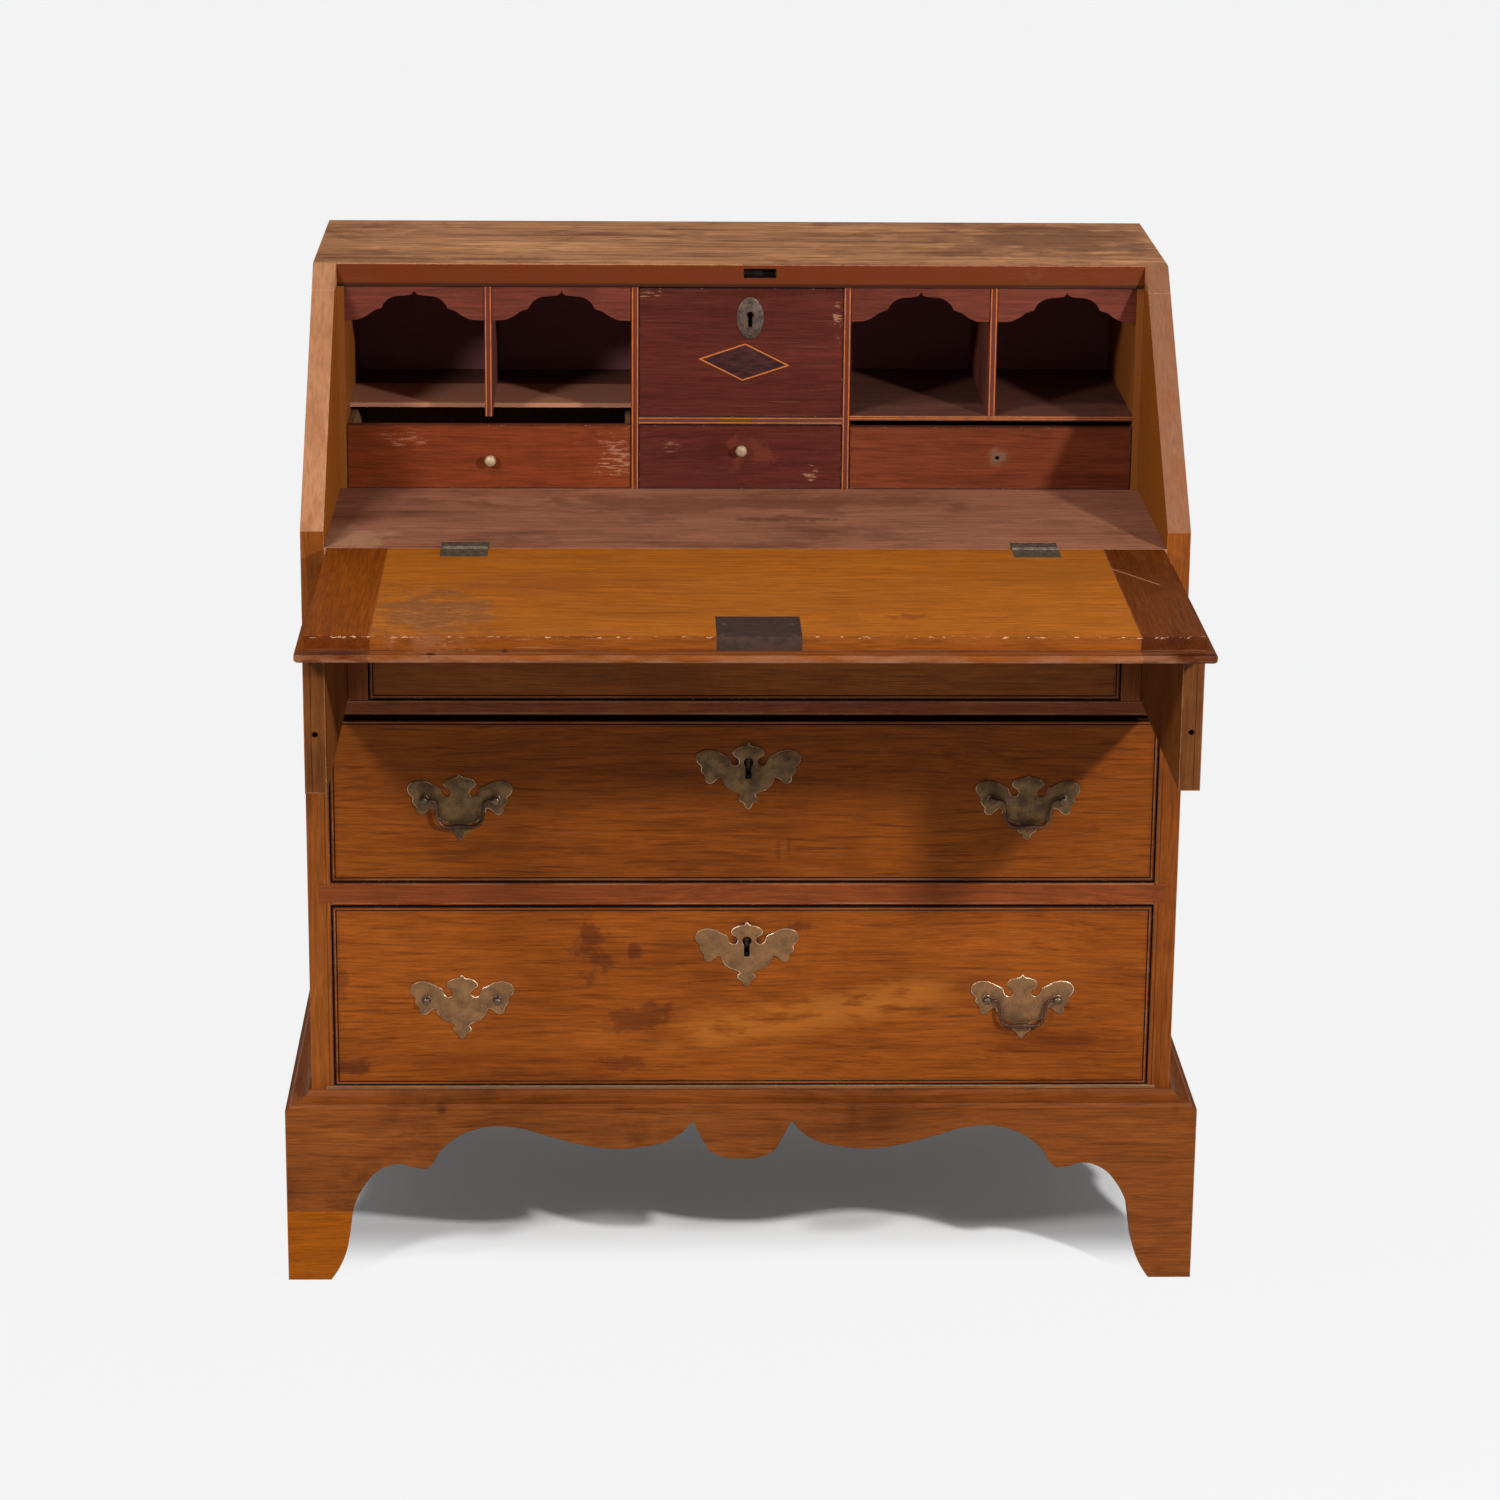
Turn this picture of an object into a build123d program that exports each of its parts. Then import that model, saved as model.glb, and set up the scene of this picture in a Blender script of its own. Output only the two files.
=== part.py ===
from build123d import *
import math
import os

# A slant-front desk with its lid open on two pulled-out lid supports.
# Shapes are drawn with the case front on y = 0, the desk's middle on x = 0 and the floor on z = 0.
# They are then moved so that y = 0 is the middle of the open desk's depth.

# Case, with its heights stacked from the base up
case_width = 914.0
case_depth = 530.0
side_thick = 24.0
bottom_thick = 27.0
lower_opening = 203.0
rail_middle_thick = 24.9
upper_opening = 183.1
rail_upper_thick = 16.0
top_opening = 140.0
desk_board_thick = 22.0
gallery_height = 222.0
top_thick = 25.0
slope_angle = 41.0
housing_depth = 8.0
housing_stop = 20.0
back_thick = 12.0
back_rebate = 10.0
back_board_count = 3
fit_gap = 0.3

# Lid
lid_step = 14.0
lid_seat_gap = 0.3
lid_body_gap = 3.0
lid_lip_cover = 5.0
lid_lip_past = 2.0
lid_end_gap = 1.5
lid_rear_gap = 0.25
lid_rear_land = 3.0
lid_round_share = 0.625
cleat_width = 71.0
cleat_tongue = 12.0
cleat_tongue_thick = 7.0

# Lid hinges
hinge_left_share = 0.6674
hinge_right_share = 0.6848
hinge_width = 48.0
case_leaf_length = 28.0
lid_leaf_length = 34.0
leaf_thick = 1.8
leaf_sink = 0.2
knuckle_radius = 2.8
knuckle_room = 0.4
knuckle_gap = 0.3
knuckle_count = 3
hinge_pin_radius = 1.2
pin_clearance = 0.05
leaf_edge_room = 0.2
round_side_count = 12

# Lid lock
lid_lock_off = 2.8
lid_lock_width = 81.6
lid_lock_length = 74.0
lid_lock_plate = 2.0
lid_lock_box_width = 56.0
lid_lock_box_length = 44.0
lid_lock_box_deep = 8.0
lid_keyhole_back = 20.0
lock_bolt_width = 20.0
lock_bolt_thick = 4.0
mortise_off = 19.5
mortise_width = 35.0
mortise_height = 10.0
mortise_below_top = 5.0
mortise_deep = 20.0

# Drawer dividers and lid supports
rail_depth = 75.0
dovetail_length = 12.0
dovetail_depth = 60.0
dovetail_neck_share = 0.14
loper_slot = 22.0
loper_side_gap = 0.5
divider_thick = 20.7
loper_left_out = 326.0
loper_right_out = 316.0
loper_back_room = 38.0
peg_hole_radius = 3.0
peg_hole_rise = 59.0
peg_hole_deep = 18.0
runner_upper_width = 58.0
runner_middle_width = 25.0

# Large drawers
drawer_front_thick = 22.0
drawer_side_thick = 12.0
drawer_back_thick = 11.0
drawer_bottom_thick = 8.0
drawer_bottom_raise = 8.0
drawer_bottom_tongue = 6.0
drawer_back_room = 18.0
drawer_gap = 1.5
drawer_lap = 8.0
drawer_side_drop = 8.0
drawer_front_lift = 1.3
top_front_gap = 2.2
upper_front_gap = 6.3
lower_front_gap = 2.3
top_tail_count = 3
upper_tail_count = 4
lower_tail_count = 5
tail_wide_share = 0.62
tail_narrow_share = 0.46
bead_width = 3.0
bead_groove_width = 1.2
bead_groove_deep = 1.0

# Brasses and locks of the large drawers, with heights as shares of each drawer's opening
plate_half_width = 55.0
plate_thick = 1.5
post_half_space = 37.5
post_shank_half = 2.2
post_head_radius = 4.2
post_head_length = 9.5
post_dome = 1.6
post_nut_half = 5.5
post_nut_thick = 3.0
eye_reach = 7.0
bail_pin_radius = 1.8
bail_rod_radius = 2.4
bail_side_count = 8
bail_drop = 29.0
bail_start_gap = 0.7
pull_share = 0.685
top_post_share = 0.607
upper_post_share = 0.503
lower_post_share = 0.483
top_lock_share = 0.757
upper_lock_share = 0.721
lower_lock_share = 0.803
lock_x = 4.0
keyhole_radius = 3.2
keyhole_slot_width = 3.6
keyhole_slot_drop = 13.0
keyhole_in_plate_share = 0.11
drawer_lock_half = 33.0
drawer_lock_thick = 12.0
drawer_lock_below = 20.0
drawer_lock_hole_deep = 6.0

# Gallery above the writing board
gallery_set_back = 3.7
gallery_end_thick = 8.0
partition_inner = 110.0
partition_thick = 8.0
pigeon_divider_thick = 8.0
left_shelf_rise = 74.5
left_shelf_thick = 5.0
left_shelf_set_back = 70.0
right_shelf_rise = 76.0
right_shelf_thick = 5.5
centre_shelf_rise = 71.6
centre_shelf_thick = 7.8
valance_depth = 38.0
valance_neck = 5.0
valance_thick = 6.0
valance_back_set = 1.5
small_front_thick = 10.0
small_side_thick = 6.0
small_back_thick = 6.0
small_bottom_thick = 4.0
small_bottom_raise = 3.0
small_bottom_tongue = 3.0
small_lap = 3.0
small_gap = 0.7
small_floor_gap = 0.3
small_front_lift = 0.0
small_back_room = 6.0
small_side_drop = 3.0
left_drawer_gap = 4.5
centre_drawer_gap = 1.3
right_drawer_gap = 7.0
prospect_gap = 2.0
small_tail_count = 2
prospect_tail_count = 4
knob_radius = 6.3
knob_head_length = 8.5
knob_length = 14.0
knob_round = 2.2
knob_neck_radius = 3.2
knob_side_count = 16
knob_shaft_radius = 2.0
left_knob_off = 1.5
left_knob_share = 0.464
centre_knob_off = 1.0
centre_knob_share = 0.626
missing_knob_off = 7.5
missing_knob_share = 0.507
oval_off = 9.5
oval_drop = 32.0
oval_half_width = 14.7
oval_half_height = 22.8
oval_thick = 1.2
oval_side_count = 28

# Bracket base
base_thick = 27.0
base_face_height = 193.0
moulding_height = 14.5
base_lap = 23.5
apron_cover = 11.8
foot_patch_height = 78.6
foot_patch_reach = 75.0
rear_bracket_thick = 18.0
rear_bracket_width = 120.0
rear_bracket_deep = 34.0
rear_foot_width = 48.0
corner_block = 18.0
corner_block_lift = 4.0
front_block_inner = 90.0
front_block_outer = 190.0

# Heights that follow from the ones above, from the floor up
base_top = base_face_height + moulding_height
bottom_underside = base_top - base_lap
bottom_top = bottom_underside + bottom_thick
rail_middle_low = bottom_top + lower_opening
rail_middle_high = rail_middle_low + rail_middle_thick
rail_upper_low = rail_middle_high + upper_opening
rail_upper_high = rail_upper_low + rail_upper_thick
writing_underside = rail_upper_high + top_opening
desk_height = writing_underside + desk_board_thick
top_underside = desk_height + gallery_height
top_height = top_underside + top_thick
back_top = top_underside + top_thick / 2
apron_height = base_face_height - apron_cover
rear_bracket_low = bottom_underside - rear_bracket_deep
peg_hole_height = rail_upper_high + peg_hole_rise
left_shelf_low = desk_height + left_shelf_rise
left_shelf_high = left_shelf_low + left_shelf_thick
right_shelf_low = desk_height + right_shelf_rise
right_shelf_high = right_shelf_low + right_shelf_thick
centre_shelf_low = desk_height + centre_shelf_rise
centre_shelf_high = centre_shelf_low + centre_shelf_thick
prospect_high = top_underside - prospect_gap
oval_height = prospect_high - oval_drop
valance_low = top_underside - valance_depth
valance_apex = top_underside - valance_neck
mortise_high = top_height - mortise_below_top

# Widths that follow
half_case = case_width / 2
half_inside = half_case - side_thick
base_half = half_case + base_thick
divider_outer = half_inside - loper_slot
divider_inner = divider_outer - divider_thick
loper_thick = loper_slot - 2 * loper_side_gap
lid_body_half = half_inside - lid_body_gap
lid_lip_half = half_inside + lid_lip_cover
cleat_seam = lid_lip_half - cleat_width
hinge_left_x = -half_inside * hinge_left_share
hinge_right_x = half_inside * hinge_right_share
pull_x = half_inside * pull_share
lid_lock_left = lid_lock_off - lid_lock_width / 2
lid_lock_right = lid_lock_off + lid_lock_width / 2
gallery_inner = half_inside - gallery_end_thick
partition_outer = partition_inner + partition_thick
bay_middle = (partition_outer + gallery_inner) / 2
pigeon_divider_inner = bay_middle - pigeon_divider_thick / 2
pigeon_divider_outer = bay_middle + pigeon_divider_thick / 2

# Depths that follow
slope_radians = math.radians(slope_angle)
slope_cos = math.cos(slope_radians)
slope_sin = math.sin(slope_radians)
slope_tan = math.tan(slope_radians)
slope_base = desk_height + (lid_step - lid_seat_gap) / slope_cos
slope_run = (top_height - slope_base) / slope_tan
slope_at_underside = (top_underside - slope_base) / slope_tan
lid_body_length = slope_run * slope_cos + (top_underside - desk_height) * slope_sin - lid_end_gap
lid_reach = slope_run * slope_cos + (top_height - desk_height) * slope_sin + lid_lip_past
lid_underside = desk_height - desk_board_thick
lid_ledge = desk_height - lid_step
lid_lip_round = (lid_ledge - lid_underside) * lid_round_share
front_y = (lid_reach - case_depth) / 2
back_front = case_depth - back_thick
drawer_length = back_front - drawer_back_room
loper_length = back_front - loper_back_room
gallery_front = slope_run + gallery_set_back
axis_gap = knuckle_radius + knuckle_gap
keyhole_plate_drop = plate_half_width * keyhole_in_plate_share

# Outline of the front foot and the shaped lower edge, measured from the outer corner.
# Each run is a list of points: two points make a line, more make arcs that each take two steps.
bracket_shares = [
    [(0.0942, 0.0), (0.1182, 0.106), (0.1333, 0.2268), (0.1395, 0.3416), (0.1444, 0.4338)],
    [(0.1444, 0.4338), (0.1605, 0.5508), (0.1876, 0.6578), (0.2229, 0.7208), (0.2471, 0.7334)],
    [(0.2471, 0.7334), (0.26, 0.729), (0.2733, 0.7141)],
    [(0.2733, 0.7141), (0.3062, 0.7014)],
    [(0.3062, 0.7014), (0.3194, 0.7329), (0.3328, 0.7958)],
    [(0.3328, 0.7958), (0.3661, 0.8836), (0.4124, 0.9465)],
    [(0.4124, 0.9465), (0.438, 0.964), (0.4649, 0.9713)],
]
apron_shares = [
    [(0.4649, 0.9713), (0.498, 0.9625), (0.5306, 0.9454), (0.5961, 0.8885), (0.6618, 0.8438)],
    [(0.6618, 0.8438), (0.7277, 0.8245), (0.7936, 0.8433), (0.8461, 0.8869), (0.8789, 0.9558)],
    [(0.8789, 0.9558), (0.8919, 1.0)],
    [(0.8919, 1.0), (0.9054, 0.9244), (0.9254, 0.8234), (0.9519, 0.7793), (1.0, 0.766)],
]

# Outline of one half of a pull plate, in shares of its half width, from the top point down
plate_half_shares = [
    (0.0, 0.51), (0.05, 0.435), (0.24, 0.392), (0.31, 0.318), (0.21, 0.205),
    (0.167, 0.127), (0.209, 0.058), (0.345, 0.1), (0.373, 0.225),
    (0.6, 0.34), (0.745, 0.375), (0.9, 0.345), (0.985, 0.265),
    (1.0, 0.17), (0.882, 0.027), (0.909, -0.05), (0.809, -0.173),
    (0.829, -0.245), (0.76, -0.315), (0.627, -0.247), (0.498, -0.175),
    (0.48, -0.282), (0.309, -0.451), (0.12, -0.538), (0.182, -0.6), (0.084, -0.695), (0.0, -0.836),
]

# Lower outline of one half of a valance, from its end to its middle point
valance_half_shares = [
    [(0.0, 0.0), (0.19, 0.02)],
    [(0.19, 0.02), (0.3, 0.13), (0.405, 0.3)],
    [(0.405, 0.3), (0.53, 0.4)],
    [(0.53, 0.4), (0.54, 0.47)],
    [(0.54, 0.47), (0.62, 0.68), (0.73, 0.79)],
    [(0.73, 0.79), (0.92, 0.83)],
    [(0.92, 0.83), (0.975, 0.89), (1.0, 1.0)],
]

# Moulding on top of the base boards, outward share of the board and height share of the moulding
moulding_shares = [
    [(1.0, 0.0), (0.87, 0.07)],
    [(0.87, 0.07), (0.8, 0.27)],
    [(0.8, 0.27), (0.77, 0.38)],
    [(0.77, 0.38), (0.36, 0.54), (0.13, 1.0)],
    [(0.13, 1.0), (0.0, 1.0)],
]

# Bends of one half of a bail from beside its post to the end of its grip
bail_half_shares = [
    (0.0, 0.0), (0.13, 0.0), (0.2, 0.08), (0.24, 0.22), (0.27, 0.55), (0.32, 0.76), (0.42, 0.92), (0.56, 1.0),
]


# Small helpers
def board(x_low, x_high, y_low, y_high, z_low, z_high):
    """A squared board between two opposite corners."""
    corner = (Align.MIN, Align.MIN, Align.MIN)
    solid = Box(x_high - x_low, y_high - y_low, z_high - z_low, align=corner)
    return Pos(x_low, y_low, z_low) * solid


def rod_along_x(x_low, x_high, y, z, radius):
    """A round rod lying across the desk."""
    flat = Plane(origin=(x_low, y, z), z_dir=(1, 0, 0)) * Circle(radius)
    return extrude(flat, amount=x_high - x_low)


def bar_along_y(x, y_low, y_high, z, half_width):
    """A square bar running from front to back."""
    return board(x - half_width, x + half_width, y_low, y_high, z - half_width, z + half_width)


def rod_along_y(x, y_low, y_high, z, radius):
    """A rod running from front to back, its round drawn with flats."""
    flat = Plane(origin=(x, y_low, z), z_dir=(0, 1, 0)) * RegularPolygon(radius, round_side_count)
    return extrude(flat, amount=y_high - y_low)


def pin_along_x(x_low, x_high, y, z, radius):
    """A pin lying across the desk, its round drawn with flats whose corners reach the radius."""
    flat = Plane(origin=(x_low, y, z), z_dir=(1, 0, 0)) * RegularPolygon(radius, round_side_count)
    return extrude(flat, amount=x_high - x_low)


def bore_along_x(x_low, x_high, y, z, radius):
    """A bore across the desk, its round drawn with flats that touch the radius."""
    polygon = RegularPolygon(radius, round_side_count, major_radius=False)
    flat = Plane(origin=(x_low, y, z), z_dir=(1, 0, 0)) * polygon
    return extrude(flat, amount=x_high - x_low)


def run_edges(runs):
    """Edges for runs of points: a line for two points, arcs over two steps each for more."""
    edges = []
    for run in runs:
        if len(run) == 2:
            edges.append(Line(*run))
            continue
        for start, middle, end in zip(run[:-2:2], run[1:-1:2], run[2::2]):
            edges.append(ThreePointArc(start, middle, end))
    return edges


def scaled_runs(shares, x_start, x_size, z_start, z_size):
    """Turn runs of shares into runs of points."""
    return [[(x_start + x * x_size, z_start + z * z_size) for x, z in run] for run in shares]


def mirrored_runs(runs):
    """The same runs on the other side of x = 0, in the order that carries the outline on."""
    return [[(-x, z) for x, z in reversed(run)] for run in reversed(runs)]


def face_of(edges):
    """A flat face inside a closed outline."""
    return make_face([edge.edge() for edge in edges])


def face_through(points):
    """A flat face with straight edges between its points."""
    return make_face(Polyline(*points, close=True).edges())


def cut_from_front(face, y_low, y_high):
    """A solid with the outline seen from the front, from y_low back to y_high."""
    solid = extrude(Plane.XZ * face, amount=y_high - y_low)
    return Pos(0, y_high, 0) * solid


def cut_from_side(points, x_low, x_high):
    """A solid with a straight-sided outline seen from the side, from x_low to x_high."""
    return Pos(x_low, 0, 0) * extrude(Plane.YZ * face_through(points), amount=x_high - x_low)


def other_side(solid):
    """The mirror image on the other side of the desk's middle."""
    return mirror(solid, about=Plane.YZ)


def group(solids):
    """Several solids as one piece of the assembly."""
    return Compound([one for solid in solids for one in solid.solids()])


# Case
def rail_tail(z_low, z_high):
    """The dovetail on the right end of a drawer divider."""
    neck = (z_high - z_low) * dovetail_neck_share
    points = [
        (half_inside, z_low + neck),
        (half_inside + dovetail_length, z_low),
        (half_inside + dovetail_length, z_high),
        (half_inside, z_high - neck),
    ]
    return cut_from_front(face_through(points), 0, dovetail_depth)


def rail(z_low, z_high):
    """A drawer divider dovetailed into the fronts of both sides."""
    tail = rail_tail(z_low, z_high)
    return board(-half_inside, half_inside, 0, rail_depth, z_low, z_high) + tail + other_side(tail)


def runner(width, z_low, z_high):
    """The right-hand runner behind a drawer divider, housed in the side."""
    return board(half_inside - width, half_inside + housing_depth, rail_depth, back_front, z_low, z_high)


def case_side():
    """The right side board with its slanted front edge, housings and back rebate."""
    points = [
        (0, bottom_underside),
        (0, slope_base),
        (slope_at_underside, top_underside),
        (case_depth, top_underside),
        (case_depth, bottom_underside),
    ]
    side = cut_from_side(points, half_inside, half_case)
    housed = half_inside + housing_depth
    rebated = half_inside + back_rebate
    side -= board(half_inside, rebated, back_front, case_depth, bottom_underside, top_underside)
    side -= board(half_inside, housed, housing_stop, back_front, writing_underside, desk_height)
    side -= board(half_inside, housed, 0, back_front, bottom_underside, bottom_top)
    side -= rail_tail(rail_upper_low, rail_upper_high)
    side -= rail_tail(rail_middle_low, rail_middle_high)
    side -= runner(runner_upper_width, rail_upper_low, rail_upper_high)
    side -= runner(runner_middle_width, rail_middle_low, rail_middle_high)
    return side


def top_board():
    """The top board, bevelled over the sides and square between them, with the lock's mortise."""
    points = [
        (slope_at_underside, top_underside),
        (slope_run, top_height),
        (case_depth, top_height),
        (case_depth, top_underside),
    ]
    top = cut_from_side(points, -half_case, half_case)
    top -= board(-half_inside, half_inside, 0, slope_run, top_underside, top_height)
    outer = half_inside + back_rebate
    top -= board(-outer, outer, back_front, case_depth, top_underside, back_top)
    left = mortise_off - mortise_width / 2
    low = mortise_high - mortise_height
    top -= board(left, left + mortise_width, slope_run, slope_run + mortise_deep, low, mortise_high)
    return top


def writing_board():
    """The fixed writing board, housed in the sides and sunk for the hinges."""
    stopped = board(-half_inside, half_inside, 0, housing_stop, writing_underside, desk_height)
    housed = half_inside + housing_depth
    deep = board(-housed, housed, housing_stop, back_front, writing_underside, desk_height)
    shelf = stopped + deep
    for middle in (hinge_left_x, hinge_right_x):
        shelf -= hinge_recess(middle, 0, case_leaf_length + leaf_edge_room)
    return shelf


def bottom_board():
    """The case bottom, housed in the sides."""
    housed = half_inside + housing_depth
    return board(-housed, housed, 0, back_front, bottom_underside, bottom_top)


def back_boards():
    """Level back boards lying one above the other in the rebates."""
    outer = half_inside + back_rebate
    height = (back_top - bottom_underside) / back_board_count
    boards = []
    for number in range(back_board_count):
        low = bottom_underside + number * height
        boards.append(board(-outer, outer, back_front, case_depth, low, low + height))
    return group(boards)


def runners():
    """Two runners for the top drawer and lid supports and two for the upper drawer."""
    upper = runner(runner_upper_width, rail_upper_low, rail_upper_high)
    middle = runner(runner_middle_width, rail_middle_low, rail_middle_high)
    return group([upper, middle, other_side(upper), other_side(middle)])


def loper_dividers():
    """The upright boards between the lid supports and the top drawer."""
    right = board(divider_inner, divider_outer, 0, drawer_length, rail_upper_high, writing_underside)
    return group([other_side(right), right])


# Bracket base
def base_profile():
    """The outline of a base board from the side: plain face, groove and cove."""
    runs = scaled_runs(moulding_shares, 0, -base_thick, base_face_height, moulding_height)
    runs.append([(0, base_top), (0, 0)])
    runs.append([(0, 0), (-base_thick, 0)])
    runs.append([(-base_thick, 0), (-base_thick, base_face_height)])
    return face_of(run_edges(runs))


def base_miter(points):
    """An upright block that trims a base board to its mitres."""
    return extrude(face_through(points), amount=base_top)


def base_front_void():
    """The shaped opening under the front board."""
    runs = scaled_runs(bracket_shares + apron_shares, -base_half, base_half, 0, apron_height)
    runs = runs + mirrored_runs(runs)
    start = runs[0][0]
    end = runs[-1][-1]
    runs.append([end, start])
    return cut_from_front(face_of(run_edges(runs)), -base_thick, 0)


def base_side_void():
    """The shaped opening under a side board, lying along x before it is turned."""
    length = case_depth + base_thick
    left = scaled_runs(bracket_shares, -length / 2, base_half, 0, apron_height)
    right = mirrored_runs(left)
    across = [left[-1][-1], right[0][0]]
    runs = left + [across] + right
    runs.append([right[-1][-1], left[0][0]])
    return cut_from_front(face_of(run_edges(runs)), -base_thick, 0)


def base_front_whole():
    """The front base board between its mitres, before the left foot is cut."""
    width = case_width + 2 * base_thick
    blank = Pos(-base_half, 0, 0) * extrude(Plane.YZ * base_profile(), amount=width)
    corners = [(-base_half, -base_thick), (base_half, -base_thick), (half_case, 0), (-half_case, 0)]
    return (blank & base_miter(corners)) - base_front_void()


def base_side_whole():
    """The right base board, mitred at the front."""
    length = case_depth + base_thick
    blank = Pos(-length / 2, 0, 0) * extrude(Plane.YZ * base_profile(), amount=length)
    blank -= base_side_void()
    turned = Pos(half_case, length / 2 - base_thick, 0) * Rot(0, 0, 90) * blank
    corners = [(base_half, -base_thick), (base_half, case_depth), (half_case, case_depth), (half_case, 0)]
    return turned & base_miter(corners)


def patch_zone():
    """The space that holds the renewed end of the front left foot."""
    inner = -base_half + foot_patch_reach
    rear = -base_thick + foot_patch_reach
    return board(-base_half, inner, -base_thick, rear, 0, foot_patch_height)


def base_front():
    """The front base board with the end of its left foot cut away."""
    return base_front_whole() - patch_zone()


def base_left():
    """The left base board with its front foot cut away."""
    return other_side(base_side_whole()) - patch_zone()


def foot_patch():
    """The renewed end of the front left foot, one mitred piece."""
    whole = base_front_whole() + other_side(base_side_whole())
    return whole & patch_zone()


def rear_brackets():
    """Plain shaped boards between the rear feet and the case."""
    low = base_half - rear_bracket_width
    points = [
        (half_case, 0),
        (half_case - rear_foot_width, 0),
        (low, rear_bracket_low),
        (low, bottom_underside),
        (half_case, bottom_underside),
    ]
    right = cut_from_front(face_through(points), case_depth - rear_bracket_thick, case_depth)
    return group([other_side(right), right])


def glue_blocks():
    """Corner blocks behind the feet and two blocks behind the front board."""
    blocks = []
    inner = half_case - corner_block
    for low in (0, case_depth - rear_bracket_thick - corner_block):
        high = low + corner_block
        right = board(inner, half_case, low, high, corner_block_lift, bottom_underside)
        blocks.append(right)
        blocks.append(other_side(right))
    low = bottom_underside - corner_block
    front = board(front_block_inner, front_block_outer, 0, corner_block, low, bottom_underside)
    blocks.append(front)
    blocks.append(other_side(front))
    return group(blocks)


# Lid
def hinge_recess(middle, y_low, y_high):
    """The shallow seat of a hinge leaf and the round groove for the knuckles."""
    low = middle - hinge_width / 2 - leaf_edge_room
    high = middle + hinge_width / 2 + leaf_edge_room
    floor = desk_height - leaf_sink - leaf_thick
    seat = board(low, high, y_low, y_high, floor, desk_height)
    groove = rod_along_x(low, high, 0, desk_height, knuckle_radius + knuckle_room)
    return seat + groove


def lid_whole():
    """The open lid before it is split: body, lower lip on three sides, bevelled rear edge."""
    upper = board(-lid_body_half, lid_body_half, -lid_body_length, -lid_rear_gap, lid_ledge, desk_height)
    lower = board(-lid_lip_half, lid_lip_half, -lid_reach, -lid_rear_gap, lid_underside, lid_ledge)
    bottom_edges = lower.edges().group_by(Axis.Z)[0].sort_by(Axis.Y)
    lower = fillet(bottom_edges[:-1], radius=lid_lip_round)
    lid = upper + lower
    land = desk_height - lid_rear_land
    drop = land - lid_underside
    points = [
        (-lid_rear_gap, land),
        (-lid_rear_gap - drop * slope_tan, lid_underside),
        (0, lid_underside),
        (0, land),
    ]
    lid -= cut_from_side(points, -lid_lip_half, lid_lip_half)
    for middle in (hinge_left_x, hinge_right_x):
        lid -= hinge_recess(middle, -lid_leaf_length - leaf_edge_room, 0)
    return lid


def cleat_tongue_solid():
    """The tongue of the lid's middle board inside the right cleat."""
    middle = (desk_height + lid_underside) / 2
    low = middle - cleat_tongue_thick / 2
    high = middle + cleat_tongue_thick / 2
    front = -lid_body_length + lid_lip_round
    rear = -(desk_height - low) * slope_tan - lid_rear_land
    return board(cleat_seam, cleat_seam + cleat_tongue, front, rear, low, high)


def lid_lock_plate_solid():
    """The lock's flat plate folded over the step at the lid's front."""
    rear = -lid_body_length + lid_lock_length
    low = desk_height - lid_lock_plate
    flat = board(lid_lock_left, lid_lock_right, -lid_body_length, rear, low, desk_height)
    front = -lid_body_length + lid_lock_plate
    fold = board(lid_lock_left, lid_lock_right, -lid_body_length, front, lid_ledge, desk_height)
    return flat + fold


def lid_lock_box():
    """The lock's works under the plate."""
    front = -lid_body_length + lid_lock_plate
    high = desk_height - lid_lock_plate
    low = high - lid_lock_box_deep
    left = lid_lock_off - lid_lock_box_width / 2
    return board(left, left + lid_lock_box_width, front, front + lid_lock_box_length, low, high)


def lid_lock_bolt():
    """The bolt that comes out of the lid's front step, drawn back level with it."""
    low = desk_height - lid_lock_plate - lid_lock_box_deep / 2 - lock_bolt_thick / 2
    left = lid_lock_off - lock_bolt_width / 2
    rear = -lid_body_length + lid_lock_box_length / 2
    return board(left, left + lock_bolt_width, -lid_body_length, rear, low, low + lock_bolt_thick)


def lid_keyhole():
    """The keyhole through the lid's outer face into its lock."""
    y = -lid_body_length + lid_keyhole_back
    depth = desk_height - lid_lock_plate - lid_lock_box_deep - lid_underside
    flat = Pos(lid_lock_off, y, lid_underside) * RegularPolygon(keyhole_radius, round_side_count)
    left = lid_lock_off - keyhole_slot_width / 2
    right = left + keyhole_slot_width
    slot = board(left, right, y, y + keyhole_slot_drop, lid_underside, lid_underside + depth)
    return extrude(flat, amount=depth) + slot


def lid_field():
    """The middle board of the lid."""
    middle = lid_whole() & board(-cleat_seam, cleat_seam, -lid_reach, 0, lid_underside, desk_height)
    tongue = cleat_tongue_solid()
    field = middle + tongue + other_side(tongue)
    field -= lid_lock_plate_solid()
    field -= lid_lock_box()
    field -= lid_keyhole()
    return field


def lid_cleat():
    """The cleat on the lid's right end."""
    cleat = lid_whole() & board(cleat_seam, lid_lip_half, -lid_reach, 0, lid_underside, desk_height)
    return cleat - cleat_tongue_solid()


def lid_lock():
    """The lock plate, its works and its bolt."""
    bolt = lid_lock_bolt()
    lock = lid_lock_plate_solid() + lid_lock_box()
    return group([lock - bolt, bolt])


# Hinges
def knuckle_spans(middle):
    """The left, middle and right lengths of a hinge's knuckles."""
    length = hinge_width / knuckle_count
    low = middle - hinge_width / 2
    spans = []
    for number in range(knuckle_count):
        start = low + number * length
        spans.append((start + knuckle_gap / 2, start + length - knuckle_gap / 2))
    return spans


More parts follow.
